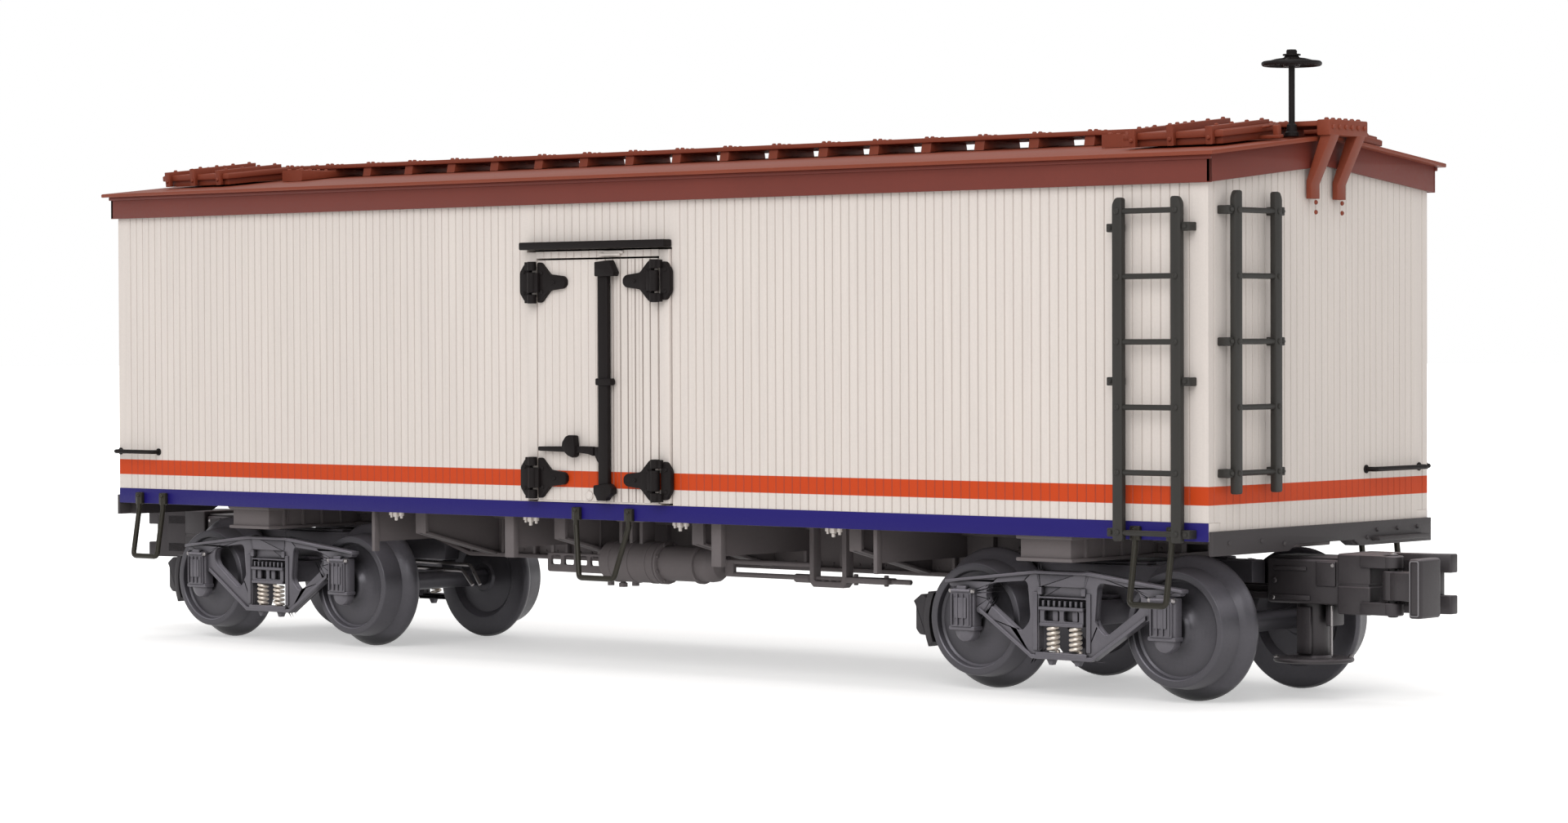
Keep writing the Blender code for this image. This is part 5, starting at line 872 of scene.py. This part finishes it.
def centreSill():
    u = underframe
    top, half, web, flange = underTop, u["reach"] - 0.7, u["sillHalf"], u["flangeHalf"]
    line = bellyLine(u["reach"])
    bm = plate([line + [(x, z + u["flange"]) for x, z in reversed(line)]], "Y", -flange, flange, 0, 0.18)
    put(bm, plate([[(-half, top), (half, top)] + bellyLine(half, 0.3)], "Y", web - 1.3, web), *bothSides)
    put(bm, block((-half, half), (web - 0.3, flange), (top - 0.6, top), 0.12), *bothSides)
    count = int(half / u["postPitch"])
    for x in [step * u["postPitch"] for step in range(-count, count + 1)]:
        put(bm, block((x - 0.3, x + 0.3), (web - 0.2, flange - 0.4), (bellyAt(x) + 0.4, top - 0.3), 0.08), *bothSides)
    count = int(half / u["rivetPitch"])
    rivets = [moveTo(x, web, bellyAt(x) + 1.25, -90) for x in [(step + 0.5) * u["rivetPitch"]
                                                               for step in range(-count, count)]]
    put(bm, boltHead(0.24, 0.16, 6), *[flip @ place for flip in bothSides for place in rivets])
    put(bm, block((-u["slabReach"], u["slabReach"]), (-flange + 0.1, flange - 0.1),
                  (sill - u["slabDepth"], top - 0.02), 0.2))
    return bm


def crossBearers(bm):
    # tapered bearers on the deep part, and the beams that carry the side sills
    u = underframe
    top, half, end, flange = underTop - 0.1, u["bearerHalf"], sill - u["bearerEnd"], u["flangeHalf"] - 0.2
    low, length = sill - u["belly"] + u["flange"] / 2, u["bearerLength"] / 2
    lower = [(half, end), (flange, low), (-flange, low), (-half, end)]
    bearer = plate([[(-half, top), (half, top)] + lower], "X", -0.4, 0.4, 0, 0.08)
    putPlate(bearer, lower + [(y, z + 0.5) for y, z in reversed(lower)], "X", -length, length, 0, 0.14)
    put(bearer, block((-length, length), (half - 0.7, half + 0.03), (end, top), 0.14), *bothSides)
    put(bm, bearer, *[moveTo(side * x) for x in u["bearers"] for side in (-1, 1)])
    top, low, reach = underTop - 0.02, sill - u["needleDepth"], u["needleHalf"]
    for x, half in u["needles"]:
        put(bm, block((x - half * 0.4, x + half * 0.4), (0.3 - reach, reach - 0.3), (low + 1.6, top)), *bothEnds)
        put(bm, block((x - half, x + half), (reach - 1.2, reach), (low, top), 0.12), *fourWays)


def bodyBolsters(bm):
    u = underframe
    x, half, length, top = u["bolsterX"], u["bolsterHalf"], u["bolsterLength"] / 2, underTop
    low = sill - u["shallow"]
    beam = block((x - length + 0.5, x + length - 0.5), (0.5 - half, half - 0.5), (low + 0.4, top - 0.01), 0.15)
    for z in ((low + 0.05, low + 0.6), (top - 0.6, top)):
        put(beam, block((x - length, x + length), (-half, half), z, 0.16))
    put(beam, block((x - length + 0.15, x + length - 0.15), (-0.3, 0.3), (low + 0.3, top - 0.3), 0.1),
        *[moveTo(0, side * y) for y in (8.6, 13.0, 17.4, 21.8) for side in (-1, 1)])
    put(beam, lathe([(0, -0.1), (3.6, -0.1), (4.0, 0.1), (4.0, 1.2), (0, 1.2)], 40), moveTo(x, 0, low - 0.1))
    put(bm, beam, *bothEnds)


def sillBolts():
    # three bolt ends under the side sill at each bearer, light grey as painted glints
    bm = bmesh.new()
    for shift, drop, radius in ((-1.2, 0.9, 0.42), (-0.1, 1.35, 0.55), (1.1, 1.0, 0.45)):
        put(bm, lathe([(0, 0.1), (radius, 0.1), (radius, -drop * 0.55), (radius * 0.55, -drop * 0.6),
                       (radius * 0.5, -drop), (0, -drop)], 8),
            *[turnIt @ moveTo(x + shift, 1.1 - wallSide, sill) for x in underframe["sillBolts"]
              for turnIt in sides.values()])
    return bm


def brakeCylinder():
    b = brake
    start, joint, head, end, foot, y, z = (b[key] for key in ("start", "joint", "head", "end", "footX", "y", "z"))
    tank, barrel, lobe, rim = b["reservoir"], b["cylinder"], b["lobe"], b["flange"]
    profile = [(0, start), (tank * 0.5, start), (tank * 0.84, start + 0.3), (tank * 0.97, start + 0.8),
               (tank, start + 1.3)]
    for x in (start + 2.2, start + 6.3, joint - 2.4):
        profile += [(tank, x), (tank + 0.1, x + 0.06), (tank + 0.1, x + 0.7), (tank, x + 0.76)]
    profile += [(tank, joint - 0.7), (rim - 0.1, joint - 0.65), (rim, joint - 0.55), (rim, joint - 0.1),
                (rim - 0.15, joint - 0.04), (rim - 0.15, joint + 0.04), (rim, joint + 0.1), (rim, joint + 0.5),
                (rim - 0.12, joint + 0.6), (barrel, joint + 0.7), (barrel, head - 1.0), (barrel + 0.3, head - 0.9),
                (barrel + 0.3, head - 0.3), (barrel - 0.1, head - 0.2), (barrel - 0.1, head), (lobe, head + 0.5),
                (lobe + 0.15, head + 1.5), (lobe, head + 2.6), (lobe * 0.8, head + 3.4), (lobe * 0.45, end - 0.2),
                (0.8, end), (0, end)]
    bm = moved(lathe(profile, 40), moveTo(0, y, sill + z, 90, "Y"))
    put(bm, nutOnWasher(0.26, 0.4), *[moveTo(joint + 0.5, y, sill + z, step * 45 + 22.5) @ moveTo(0, 0, 3.05, 90, "Y")
                                      for step in range(8)])
    putBlocks(bm, ((foot - 3.0, foot + 3.0), (y - 1.7, y + 1.7), (sill - 1.0, underTop), 0.15),
              *[((foot + x - 0.35, foot + x + 0.35), (y - 1.5, y + 1.5), (sill + z + 2.2, sill - 0.5), 0.12)
                for x in (-2.2, 0, 2.2)])
    # cocks and plugs under the reservoir
    for x, drop, radius in ((-12.0, 4.0, 0.55), (-9.3, 4.15, 0.7), (-6.6, 3.9, 0.6)):
        put(bm, lathe([(0, 0), (radius, 0), (radius, 0.6), (radius * 0.6, 0.75), (radius * 0.6, 1.4), (0, 1.4)], 8),
            moveTo(x, y, sill + z - drop))
    return bm


def valveBracket():
    b = brake
    x0, x1, low, high = b["valve"]
    low, high, t, y = sill + low, sill + high, b["valveBar"], b["y"]
    width = (x1 - x0 - t) / b["windows"]
    loops = [[(x0, low), (x1, low), (x1, high), (x0, high)]]
    for left in [x0 + t + index * width for index in range(b["windows"])]:
        right, foot = left + width - t, low + t * 1.5
        loops.append([(left, foot), (right, foot), (right, high - t / 2), (left, high - t / 2)])
    bm = plate(loops, "Y", y - 0.3, y + 0.3, [0.4] + [0.3] * b["windows"], 0.1)
    # straps up to the floor, and the valve's pipe to the reservoir
    for x in (x0 + 1.0, (x0 + x1) / 2, x1 - 1.0):
        put(bm, block((x - 0.35, x + 0.35), (y - 0.2, y + 0.2), (high - 0.5, sill - 0.02), 0.1))
    return put(bm, bentBar([(x0 + 0.6, y, low + 0.6), (x1 + 0.6, y, low + 0.4), (x1 + 1.6, y, sill + b["z"])],
                           0.32, 0.5))


def brakeRigging():
    b = brake
    x0, x1, low = b["hanger"]
    low, t, y, top = sill + low, b["hangerBar"], b["y"], underTop
    cut, inner, tip = t * 0.8, t * 1.35, b["leverEnd"]
    loop = [(x0, top), (x0, low + cut), (x0 + cut, low), (x1 - cut, low), (x1, low + cut), (x1, top), (x1 - t, top),
            (x1 - t, low + inner), (x1 - inner, low + t), (x0 + inner, low + t), (x0 + t, low + inner), (x0 + t, top)]
    bm = plate([loop], "Y", y - t, y + t, 0, 0.14)
    put(bm, boltHead(0.42, 0.35), *[moveTo(x, y, low + t - 0.05) for x in (x0 + 2.2, (x0 + x1) / 2, x1 - 2.2)])
    upper, lower, start = sill + b["upperRod"], sill + b["lowerRod"], b["end"] + 0.3
    put(bm, block((start, start + 1.8), (y - 0.45, y + 0.45), (lower - 0.3, upper + 0.3), 0.2, 3))
    # rods, the turnbuckle on the lower one, the floating lever and its pins
    for first, last, z, *settings in ((start, x0 + t / 2, upper, b["rod"], 12, 0.08),
                                      (start, b["rodEnd"], lower, b["rod"], 12, 0.08),
                                      (27.0, 30.2, lower - 0.1, 0.68, 8, 0.2)):
        put(bm, bar((first, y, z), (last, y, z), *settings))
    putPlate(bm, [(x1 - 0.3, y - 1.2), (tip, y - 1.5), (tip, y + 1.5), (x1 - 0.3, y + 1.2)], "Z", lower - 0.45,
             lower + 0.45, 0.7, 0.2)
    return put(bm, bar((0, y, lower - 0.8), (0, y, lower + 0.9), 0.38, 12, 0.1), moveTo(x1 + 1.2), moveTo(tip - 1.2))


beams = centreSill()
crossBearers(beams)
bodyBolsters(beams)
finishPieces(whole, underframeBeams=beams, sillBolts=sillBolts(), brakeCylinder=brakeCylinder(),
             valveBracket=valveBracket(), brakeRigging=brakeRigging())
print("underframe made")

# Trucks: cast side frames with coil springs, bolsters, smooth wheels and brake beams
trucks = {"x": 84.5, "halfBase": 17.85, "face": 21.275, "back": 19.875, "proud": 0.5, "top": 7.8, "tip": 5.9,
          "plateau": 4.5, "halfLength": 21.2, "seat": -5.0, "windowHalf": 4.2, "windowTop": 3.8,
          "coilRadius": 0.78, "coilWire": 0.24, "coilTurns": 5, "coilSpread": 2.0, "shoeY": 16.95}
wheels = {"rim": 8.3, "tread": 8.75, "flange": 10.44, "face": 18.775, "flangeFace": 15.075, "back": 12.475,
          "axle": 1.5, "journal": 0.9, "end": 20.875, "sides": 72}
axleHeight = 10.4695
truckPlaces = placed(ends, moveTo(trucks["x"], 0, axleHeight))


def sideFrame():
    # the right-hand frame, about the truck's centre and the axle's height
    t = trucks
    face, back, half, seat, window, tip = (-t["face"], -t["back"], t["halfLength"], t["seat"], t["windowHalf"],
                                           t["tip"])
    upper = [(t["plateau"], t["top"]), (half - 0.5, tip), (half - 0.5, tip - 0.9), (16.6, 4.2), (16.0, 1.4),
             (14.4, 1.0), (5.3, seat)]
    hole = [(9.3 + (x - 9.3) * 0.97, 3.0 + (z - 3.0) * 0.97) for x, z in (
        (6.2, 6.5), (12.9, 5.75), (14.0, 5.2), (13.9, 2.9), (7.6, -1.55), (5.6, 0.4))]
    loops = [upper + [(-x, z) for x, z in reversed(upper)], hole, [(-x, z) for x, z in hole],
             [(-window, seat + 0.9), (window, seat + 0.9), (window, t["windowTop"]), (-window, t["windowTop"])]]
    recess = [(-4.1, t["windowTop"] + 0.25), (4.1, t["windowTop"] + 0.25), (4.1, 5.5), (-4.1, 5.5)]
    bm = plate(loops, "Y", face + 0.55, back, [0.3, 0.9, 0.9, 0.2], 0.1)
    put(bm, plate(loops + [recess], "Y", face, face + 0.6, [0.3, 0.9, 0.9, 0.2, 0.2], 0.12))
    # ledge along the arch, and the thinner one round the lower edge
    arch = [(-half, tip), (-t["plateau"], t["top"]), (t["plateau"], t["top"]), (half, tip)]
    putPlate(bm, arch + [(x, z - 0.5) for x, z in reversed(arch)], "Y", face - t["proud"], back, 0, 0.22, 3)
    under = [(-14.9, 1.35), (-5.4, seat), (5.4, seat), (14.9, 1.35)]
    putPlate(bm, under + [(x, z + 0.62) for x, z in reversed(under)], "Y", face - t["proud"] * 0.8, back, 0, 0.16)
    # pads of the bolster's guides, its stop, the foot of the seat and the seat
    put(bm, joined(block((window + 0.15, window + 0.95), (face - 0.22, face + 0.3),
                         (seat + 1.2, t["windowTop"] + 0.9), 0.14),
                   block((3.5, 4.3), (face - 0.3, face + 0.6), (4.3, 5.4), 0.16),
                   plate([[(1.6, seat + 0.2), (3.2, seat + 0.2), (2.6, seat - 0.85), (2.1, seat - 0.85)]], "Y",
                         face + 0.25, back - 0.1, 0, 0.12)), *bothEnds)
    put(bm, block((-4.6, 4.6), (face - 0.45, back), (seat + 0.35, seat + 1.0), 0.16))
    return put(bm, journalBox(face, back), moveTo(t["halfBase"]), moveTo(-t["halfBase"]))


def journalBox(face, back):
    # box with its lid, hinge lug, side flange and the round foot under it
    bm = bar((-1.75, face - 0.85, 4.35), (1.75, face - 0.85, 4.35), 0.26, 10, 0.06)
    putBlocks(bm, ((-2.25, 2.25), (face - 0.55, back), (-1.3, 4.75), 0.35),
              ((-1.9, 1.9), (face - 0.95, face - 0.3), (-0.95, 4.25), 0.2),
              ((-2.35, 2.35), (face - 0.75, back), (-1.45, -0.85), 0.16),
              ((-1.15, 1.15), (face - 1.12, face - 0.4), (0.3, 3.4), 0.16),
              ((-0.9, 0.9), (face - 0.85, face), (4.3, 5.1), 0.2))
    put(bm, block((-0.12, 0.12), (face - 1.2, face - 0.5), (-0.7, 3.9), 0.06),
        *[moveTo(x) for x in (-1.55, -0.5, 0.5, 1.55)])
    return put(bm, lathe([(0, 0), (1.9, 0), (1.9, 1.0), (1.75, 1.35), (1.2, 1.7), (0.6, 1.85), (0, 1.85)], 24),
               moveTo(0, back, -1.35, 90))


def truckBolster():
    t = trucks
    halfX, halfY, low, top = t["windowHalf"] - 0.3, t["face"] + 0.2, t["windowTop"] - 4.0, t["windowTop"] - 0.3
    inner, teeth = halfY - 0.8, low + 2.7
    bm = block((-halfX, halfX), (-halfY + 0.9, halfY - 0.9), (low + 0.2, top), 0.1)
    loops = [[(-halfX, low), (halfX, low), (halfX, low + 2.6), (-halfX, low + 2.6)]]
    loops += [[(x - 1.35, low + 0.75), (x + 1.35, low + 0.75), (x + 1.35, low + 2.25), (x - 1.35, low + 2.25)]
              for x in (-1.75, 1.75)]
    end = plate(loops, "Y", inner, halfY, 0.2, 0.12)
    putBlocks(end, ((-halfX - 0.1, halfX + 0.1), (inner, halfY + 0.3), (low + 2.35, low + 2.8), 0.14),
              ((-halfX, halfX), (inner, halfY + 0.2), (low - 0.02, low + 0.5), 0.16),
              ((-1.7, -0.7), (inner, halfY - 0.1), (low + 0.7, low + 2.3), 0.2),
              ((1.8, 2.8), (inner, halfY - 0.1), (low + 0.7, low + 2.3), 0.2),
              ((-halfX + 0.4, halfX - 0.4), (5.0, 15.0), (top - 0.1, top + 0.6), 0.3),
              # side bearings
              ((-12.8, 12.8), (8.4, 12.0), (top - 0.6, 8.5), 0.4), ((-8.0, 8.0), (9.0, 11.4), (8.4, 8.9), 0.2))
    put(end, block((-0.2, 0.2), (inner, halfY - 0.1), (teeth, top), 0.08),
        *[moveTo(tooth * 0.98 + 0.5 - halfX) for tooth in range(8)])
    put(bm, end, *bothSides)
    plateTop = sill - axleHeight - 4.6
    return put(bm, lathe([(0, top - 0.2), (4.0, top - 0.2), (4.0, plateTop - 0.15), (3.8, plateTop), (0, plateTop)],
                         40))


def wheelAndAxle():
    w = wheels
    face, back, flange, flangeFace, rim = w["face"], w["back"], w["flange"], w["flangeFace"], w["rim"]
    bm = bar((0, -w["end"], 0), (0, w["end"], 0), w["journal"], 24)
    put(bm, bar((0, -back - 0.6, 0), (0, back + 0.6, 0), w["axle"], 28))
    profile = [(0, back + 0.1), (2.3, back + 0.1), (2.6, back + 0.5), (6.2, back + 1.1), (6.7, back + 0.4),
               (7.1, back + 0.05), (9.8, back), (10.2, back + 0.15), (flange, back + 0.6), (flange, back + 1.1),
               (10.1, flangeFace - 0.9), (9.3, flangeFace - 0.15), (w["tread"], flangeFace + 0.15), (rim, face - 0.2),
               (rim - 0.18, face), (rim - 1.0, face), (rim - 1.15, face - 0.12), (rim - 1.3, face - 0.95),
               (rim - 1.6, face - 1.2), (4.6, face - 1.05), (3.2, face - 0.75), (2.7, face - 0.3), (2.3, face + 0.15),
               (1.7, face + 0.3), (0, face + 0.3)]
    wheel = lathe(profile, w["sides"])
    eased(wheel, levelEdges(wheel, 0.75), 0.07)
    return put(bm, moved(wheel, turn(90, "X")), *bothSides)


def brakeBeam():
    # shoes with their heads at the -X side of a wheel pair, on a beam across the truck
    axle, y = -trucks["halfBase"], trucks["shoeY"]
    arcs = ((9.0, range(-26, 27, 8)), (10.1, range(24, -25, -8)))
    shoe = [(axle + radius * math.cos(math.radians(180 + angle)), radius * math.sin(math.radians(180 + angle)) - 0.4)
            for radius, angles in arcs for angle in angles]
    end = plate([shoe], "Y", y - 1.35, y + 1.35, 0, 0.18)
    putPlate(end, [(axle - 9.8, -2.9), (axle - 9.8, 2.6), (axle - 10.9, 3.3), (axle - 12.4, 2.2), (axle - 11.9, 1.4),
                   (axle - 11.9, -2.0), (axle - 11.2, -2.8)], "Y", y - 0.95, y + 0.95, 0.2, 0.25)
    put(end, block((axle - 11.6, axle - 10.7), (9.5, 17.0), (-1.4, 0.2), 0.2))
    return put(block((axle - 11.5, axle - 10.8), (-10.0, 10.0), (-1.3, 0.1), 0.2), end, *bothSides)


def brakeRods():
    # bare rods from the bolster to the inner beam
    bm = bmesh.new()
    for y, z in ((-0.9, 3.3), (0.9, 2.4)):
        put(bm, bentBar([(-3.4, y, z), (-26.6, y, z - 0.4), (-28.9, y, -0.4)], 0.32, 0.9, 10))
    return bm


def makeTrucks():
    t = trucks
    base, y = t["halfBase"], -(t["face"] + t["back"]) / 2 - 0.15
    heads = [moveTo(side * base + x, -t["face"] - 0.55, 4.35, 90) for side in (-1, 1) for x in (-2.0, 2.0)]
    spring = coil(t["coilRadius"], t["coilWire"], t["seat"] + 1.05, t["windowTop"] - 4.15, t["coilTurns"])
    frameShapes = {"sideFrame": sideFrame(), "frameBolts": put(bmesh.new(), boltHead(0.42, 0.36), *heads),
                   "springs": put(bmesh.new(), spring, *[moveTo(side * t["coilSpread"], y) for side in (-1, 1)])}
    bolster, beam, rods, pair = truckBolster(), brakeBeam(), brakeRods(), wheelAndAxle()
    for end, place in truckPlaces.items():
        finishPieces({"a_" + end: place, "b_" + end: place @ mirrorY}, **frameShapes)
        finishPieces({end: place}, truckBolster=bolster)
        finishPieces({end: place @ ends[end]}, brakeBeam=beam)
        finishPieces({end: place}, brakeRods=rods)
        finishPieces({end: place @ moveTo(base)}, smooth=38, outerWheels=pair)
        finishPieces({end: place @ moveTo(-base)}, smooth=38, innerWheels=pair)


makeTrucks()
print("trucks made")

# Couplers: a tongue from the truck, housing, head with its guard arm, the knuckle, and the release post
couplers = {"housingStart": 23.5, "housingHalf": 3.8, "housingLow": 3.4, "housingHigh": 9.8, "headStart": 35.7,
            "headEnd": 41.2, "headHalf": 4.4, "seam": 6.35, "low": 2.2, "high": 10.8, "pinX": 44.3, "pinY": -3.3,
            "lugRadius": 1.5, "lug": 1.9, "faceStart": 3.7, "faceEnd": 5.6, "faceReach": 4.0, "guardTip": 49.2,
            "guardThickness": 1.8, "guardFlare": 1.6, "post": 29.0, "discRadius": 5.75, "discLow": -5.1}
knuckleWall = -couplers["lugRadius"] - 0.42


def couplerBody():
    c = couplers
    tongue, start, half, top, bottom = (trucks["windowTop"], c["housingStart"], c["housingHalf"], c["housingHigh"],
                                        c["housingLow"])
    head, end, seam, headHalf, low, high = (c[key] for key in ("headStart", "headEnd", "seam", "headHalf", "low",
                                                               "high"))
    pin, pinX, pinY, lug = moveTo(c["pinX"], c["pinY"]), c["pinX"], c["pinY"], c["lug"]
    bm = lathe([(4.3, tongue), (6.3, tongue), (6.3, tongue + 1.0), (4.3, tongue + 1.0), (4.3, tongue)], 40)
    # tongue, housing with its cover, and the head in two halves with the seam between them
    putBlocks(bm, ((5.8, start + 0.4), (-3.0, 3.0), (tongue, tongue + 1.0), 0.15),
              ((start, head + 0.2), (-half, half), (bottom, top), 0.45, 3),
              ((start + 0.5, head), (-half + 0.5, half - 0.5), (top - 0.1, top + 0.35), 0.18),
              ((head + 0.2, end - 0.2), (-headHalf + 0.12, headHalf - 0.12), (low + 0.2, high - 0.2), 0.2),
              ((head, end), (-headHalf, headHalf), (low, seam - 0.06), 0.35, 3),
              ((head, end), (-headHalf, headHalf), (seam + 0.06, high), 0.35, 3))
    # raised panels of the housing, the ribs of the tongue and the guides of the post
    y, post = (half - 0.1, half + 0.22), c["post"]
    side = put(bmesh.new(), boltHead(0.42, 0.3), moveTo(start + 1.4, half, 6.6, -90))
    putBlocks(side, ((start + 8.4, start + 11.7), y, (bottom + 2.6, top - 0.25), 0.2, 3),
              ((start + 0.6, start + 7.4), y, (bottom + 0.5, bottom + 1.2), 0.15),
              ((start + 1.2, start + 6.8), y, (top - 1.7, top - 1.1), 0.15),
              ((6.5, start + 0.3), (1.5, 2.1), (tongue + 0.5, tongue + 1.9), 0.12),
              ((post - 1.2, post + 1.2), (2.1, 2.75), (-3.9, 2.9), 0.2))
    put(bm, side, *bothSides)
    # lugs round the pin, and the pin
    for z0, z1 in ((low + 0.1, low + lug), (high - lug, high - 0.1)):
        put(bm, lathe([(0, z0), (1.35, z0), (1.5, z0 + 0.15), (1.5, z1 - 0.15), (1.35, z1), (0, z1)], 24), pin)
        put(bm, block((end - 1.5, pinX), (pinY - 1.45, pinY + 1.5), (z0, z1), 0.2))
    put(bm, lathe([(0, low - 0.15), (0.62, low - 0.15), (0.75, low), (0.75, high), (0.62, high + 0.12),
                   (0, high + 0.12)], 18), pin)
    # guard arm, forked at its tip
    tip, flare, wing = c["guardTip"], c["guardFlare"], headHalf - c["guardThickness"]
    arm = [(end - 0.4, wing), (end + 4.0, wing + flare / 3), (tip, wing + flare), (tip, headHalf + flare),
           (end + 4.0, headHalf + flare / 3), (end - 0.4, headHalf - 0.1)]
    short = [(x - (1.9 if x == tip else 0), v - (0.35 if x == tip else 0)) for x, v in arm]
    for points, z0, z1 in ((arm, low + 0.05, low + 2.7), (arm, high - 2.7, high - 0.05),
                           (short, low + 0.9, high - 0.9)):
        putPlate(bm, points, "Z", z0, z1, 0.3, 0.18)
    # release post and its disc
    disc, z = c["discRadius"], c["discLow"]
    put(bm, lathe([(0, z + 0.3), (2.05, z + 0.3), (2.3, z + 0.9), (2.3, 1.4), (2.4, 1.8), (2.4, 3.6), (0, 3.6)], 32),
        moveTo(post))
    put(bm, lathe([(0, 0), (disc - 0.2, 0), (disc, 0.15), (disc, 0.45), (disc - 0.2, 0.6), (2.6, 0.62), (2.3, 1.0),
                   (0, 1.0)], 48), moveTo(post, 0, z))
    return put(bm, block((post + 3.1, post + 4.0), (-1.8, 1.8), (0.2, 3.6), 0.2))


def couplerRivets():
    # rivet ends that shine on the disc, the housing and the pin, and the bare edges of the post's guides
    c = couplers
    start, half, post, z = c["housingStart"], c["housingHalf"] + 0.02, c["post"], c["discLow"] + 0.6
    bm = put(bmesh.new(), boltHead(0.42, 0.4), moveTo(post - 4.1, -3.4, z), moveTo(post + 4.1, 3.4, z))
    put(bm, boltHead(0.36, 0.3), *[flip @ moveTo(start + x, half, height, -90) for flip in bothSides
                                   for x, height in ((1.2, 4.2), (11.2, 9.0))])
    put(bm, lathe([(0, 0), (0.5, 0), (0.5, 0.12), (0.3, 0.25), (0, 0.25)], 14),
        moveTo(c["pinX"], c["pinY"], c["high"] + 0.1))
    for x, y, low, high, radius in ((1.9, 1.6, -4.4, 2.0, 0.22), (4.1, -1.7, 0.2, 3.2, 0.18)):
        put(bm, bar((post + x, y, low), (post + x, y, high), radius, 8, 0.05))
    return bm


def couplerKnuckle():
    # about its pin, with a broad front face
    c = couplers
    wall, start, end, reach = knuckleWall, c["faceStart"], c["faceEnd"], c["faceReach"]
    low, high = c["low"] + c["lug"] + 0.3, c["high"] - c["lug"] - 0.3
    bm = lathe([(0.78, low), (1.35, low), (1.5, low + 0.15), (1.5, high - 0.15), (1.35, high), (0.78, high),
                (0.78, low)], 24)
    putPlate(bm, [(0, -1.35), (0, 1.2), (start + 0.2, wall + 3.4), (start + 0.2, wall + 0.2), (1.5, wall + 0.2)],
             "Z", low + 0.1, high - 0.1, 0.3, 0.2)
    putPlate(bm, [(start, wall), (end - 0.5, wall), (end, wall + 0.5), (end, reach - 0.6), (end - 0.6, reach),
                  (start + 0.6, reach), (start, reach - 0.6)], "Z", c["low"] - 0.1, c["high"] - 0.35, 0.25, 0.42, 4)
    # rounded border on the outer side of the plate
    return put(bm, block((start + 0.25, end - 0.25), (wall - 0.08, wall + 0.3), (c["low"] + 0.3, c["high"] - 0.7),
                         0.25, 3))


def knuckleEdge():
    # a lighter band round the plate's outer side, a painted highlight on its rim
    c = couplers
    loops = []
    for margin in (0.2, 0.36):
        left, right, low, high = (c["faceStart"] + margin, c["faceEnd"] - margin, c["low"] + margin,
                                  c["high"] - 0.4 - margin)
        loops.append([(left, low), (right, low), (right, high), (left, high)])
    return plate(loops, "Y", knuckleWall - 0.16, knuckleWall - 0.04, [0.3, 0.2])


pin = moveTo(couplers["pinX"], couplers["pinY"])
finishPieces(truckPlaces, couplerBody=couplerBody(), couplerRivets=couplerRivets(),
             couplerKnuckle=moved(couplerKnuckle(), pin), knuckleEdge=moved(knuckleEdge(), pin))
print("couplers made")

# Floor, world and lamps, each lamp with its place, size and power
studio = {"floorColour": (0.78, 0.77, 0.76), "lift": (0.45, 1.0, 0.20, 0.75), "worldLevel": 0.60,
          "lamps": {"key": ((0.46, -0.98, 0.75), 0.9, 7.5), "fill": ((1.05, -0.05, 0.45), 0.7, 0.3),
                    "top": ((0.0, 0.1, 1.1), 0.9, 4.5)}}


def addFloor():
    bm = bmesh.new()
    bmesh.ops.create_grid(bm, x_segments=1, y_segments=1, size=6.0)
    bmesh.ops.translate(bm, vec=(0, 0, cadBox[0].z - 0.00002), verts=bm.verts)
    mesh = bpy.data.meshes.new("studioFloor")
    bm.to_mesh(mesh)
    bm.free()
    material, tree, shader, where = startMaterial("paleFloor", 0.7)
    tone = ramp(tree, noise(tree, where, 40), 0.985, 1.015)
    tree.links.new(tinted(tree, studio["floorColour"], tone), shader.inputs["Base Color"])
    rays = addNode(tree, "LightPath").outputs
    seen = mathNode(tree, "MAXIMUM", rays["Is Camera Ray"], rays["Is Glossy Ray"])
    # the floor whitens with its distance, so that it meets the background unseen
    reach = addNode(tree, "VectorMath", {0: where}, operation="LENGTH").outputs["Value"]
    shader.inputs["Emission Color"].default_value = (1, 1, 1, 1)
    tree.links.new(times(tree, seen, ramp(tree, reach, *studio["lift"])), shader.inputs["Emission Strength"])
    mesh.materials.append(material)
    newObject("studioFloor", mesh)


def addWorld():
    world = bpy.data.worlds.new("studioWorld")
    bpy.context.scene.world = world
    world.use_nodes = True
    tree = world.node_tree
    background = tree.nodes["Background"]
    background.inputs["Color"].default_value = (1, 1, 1, 1)
    rays = addNode(tree, "LightPath").outputs
    seen = mathNode(tree, "MAXIMUM", rays["Is Camera Ray"], rays["Is Transmission Ray"])
    tree.links.new(ramp(tree, seen, studio["worldLevel"], 1.0), background.inputs["Strength"])


def addLamp(name, place, size, power):
    data = bpy.data.lights.new(name, "AREA")
    data.size, data.energy = size, power
    aim = Vector((0, 0, 0.05)) - Vector(place)
    newObject(name, data).matrix_world = (Matrix.Translation(place)
                                          @ aim.to_track_quat("-Z", "Y").to_matrix().to_4x4())


addFloor()
addWorld()
for lampName, settings in studio["lamps"].items():
    addLamp(lampName + "Lamp", *settings)
bpy.context.scene.view_settings.view_transform = "Standard"
print("stage set")
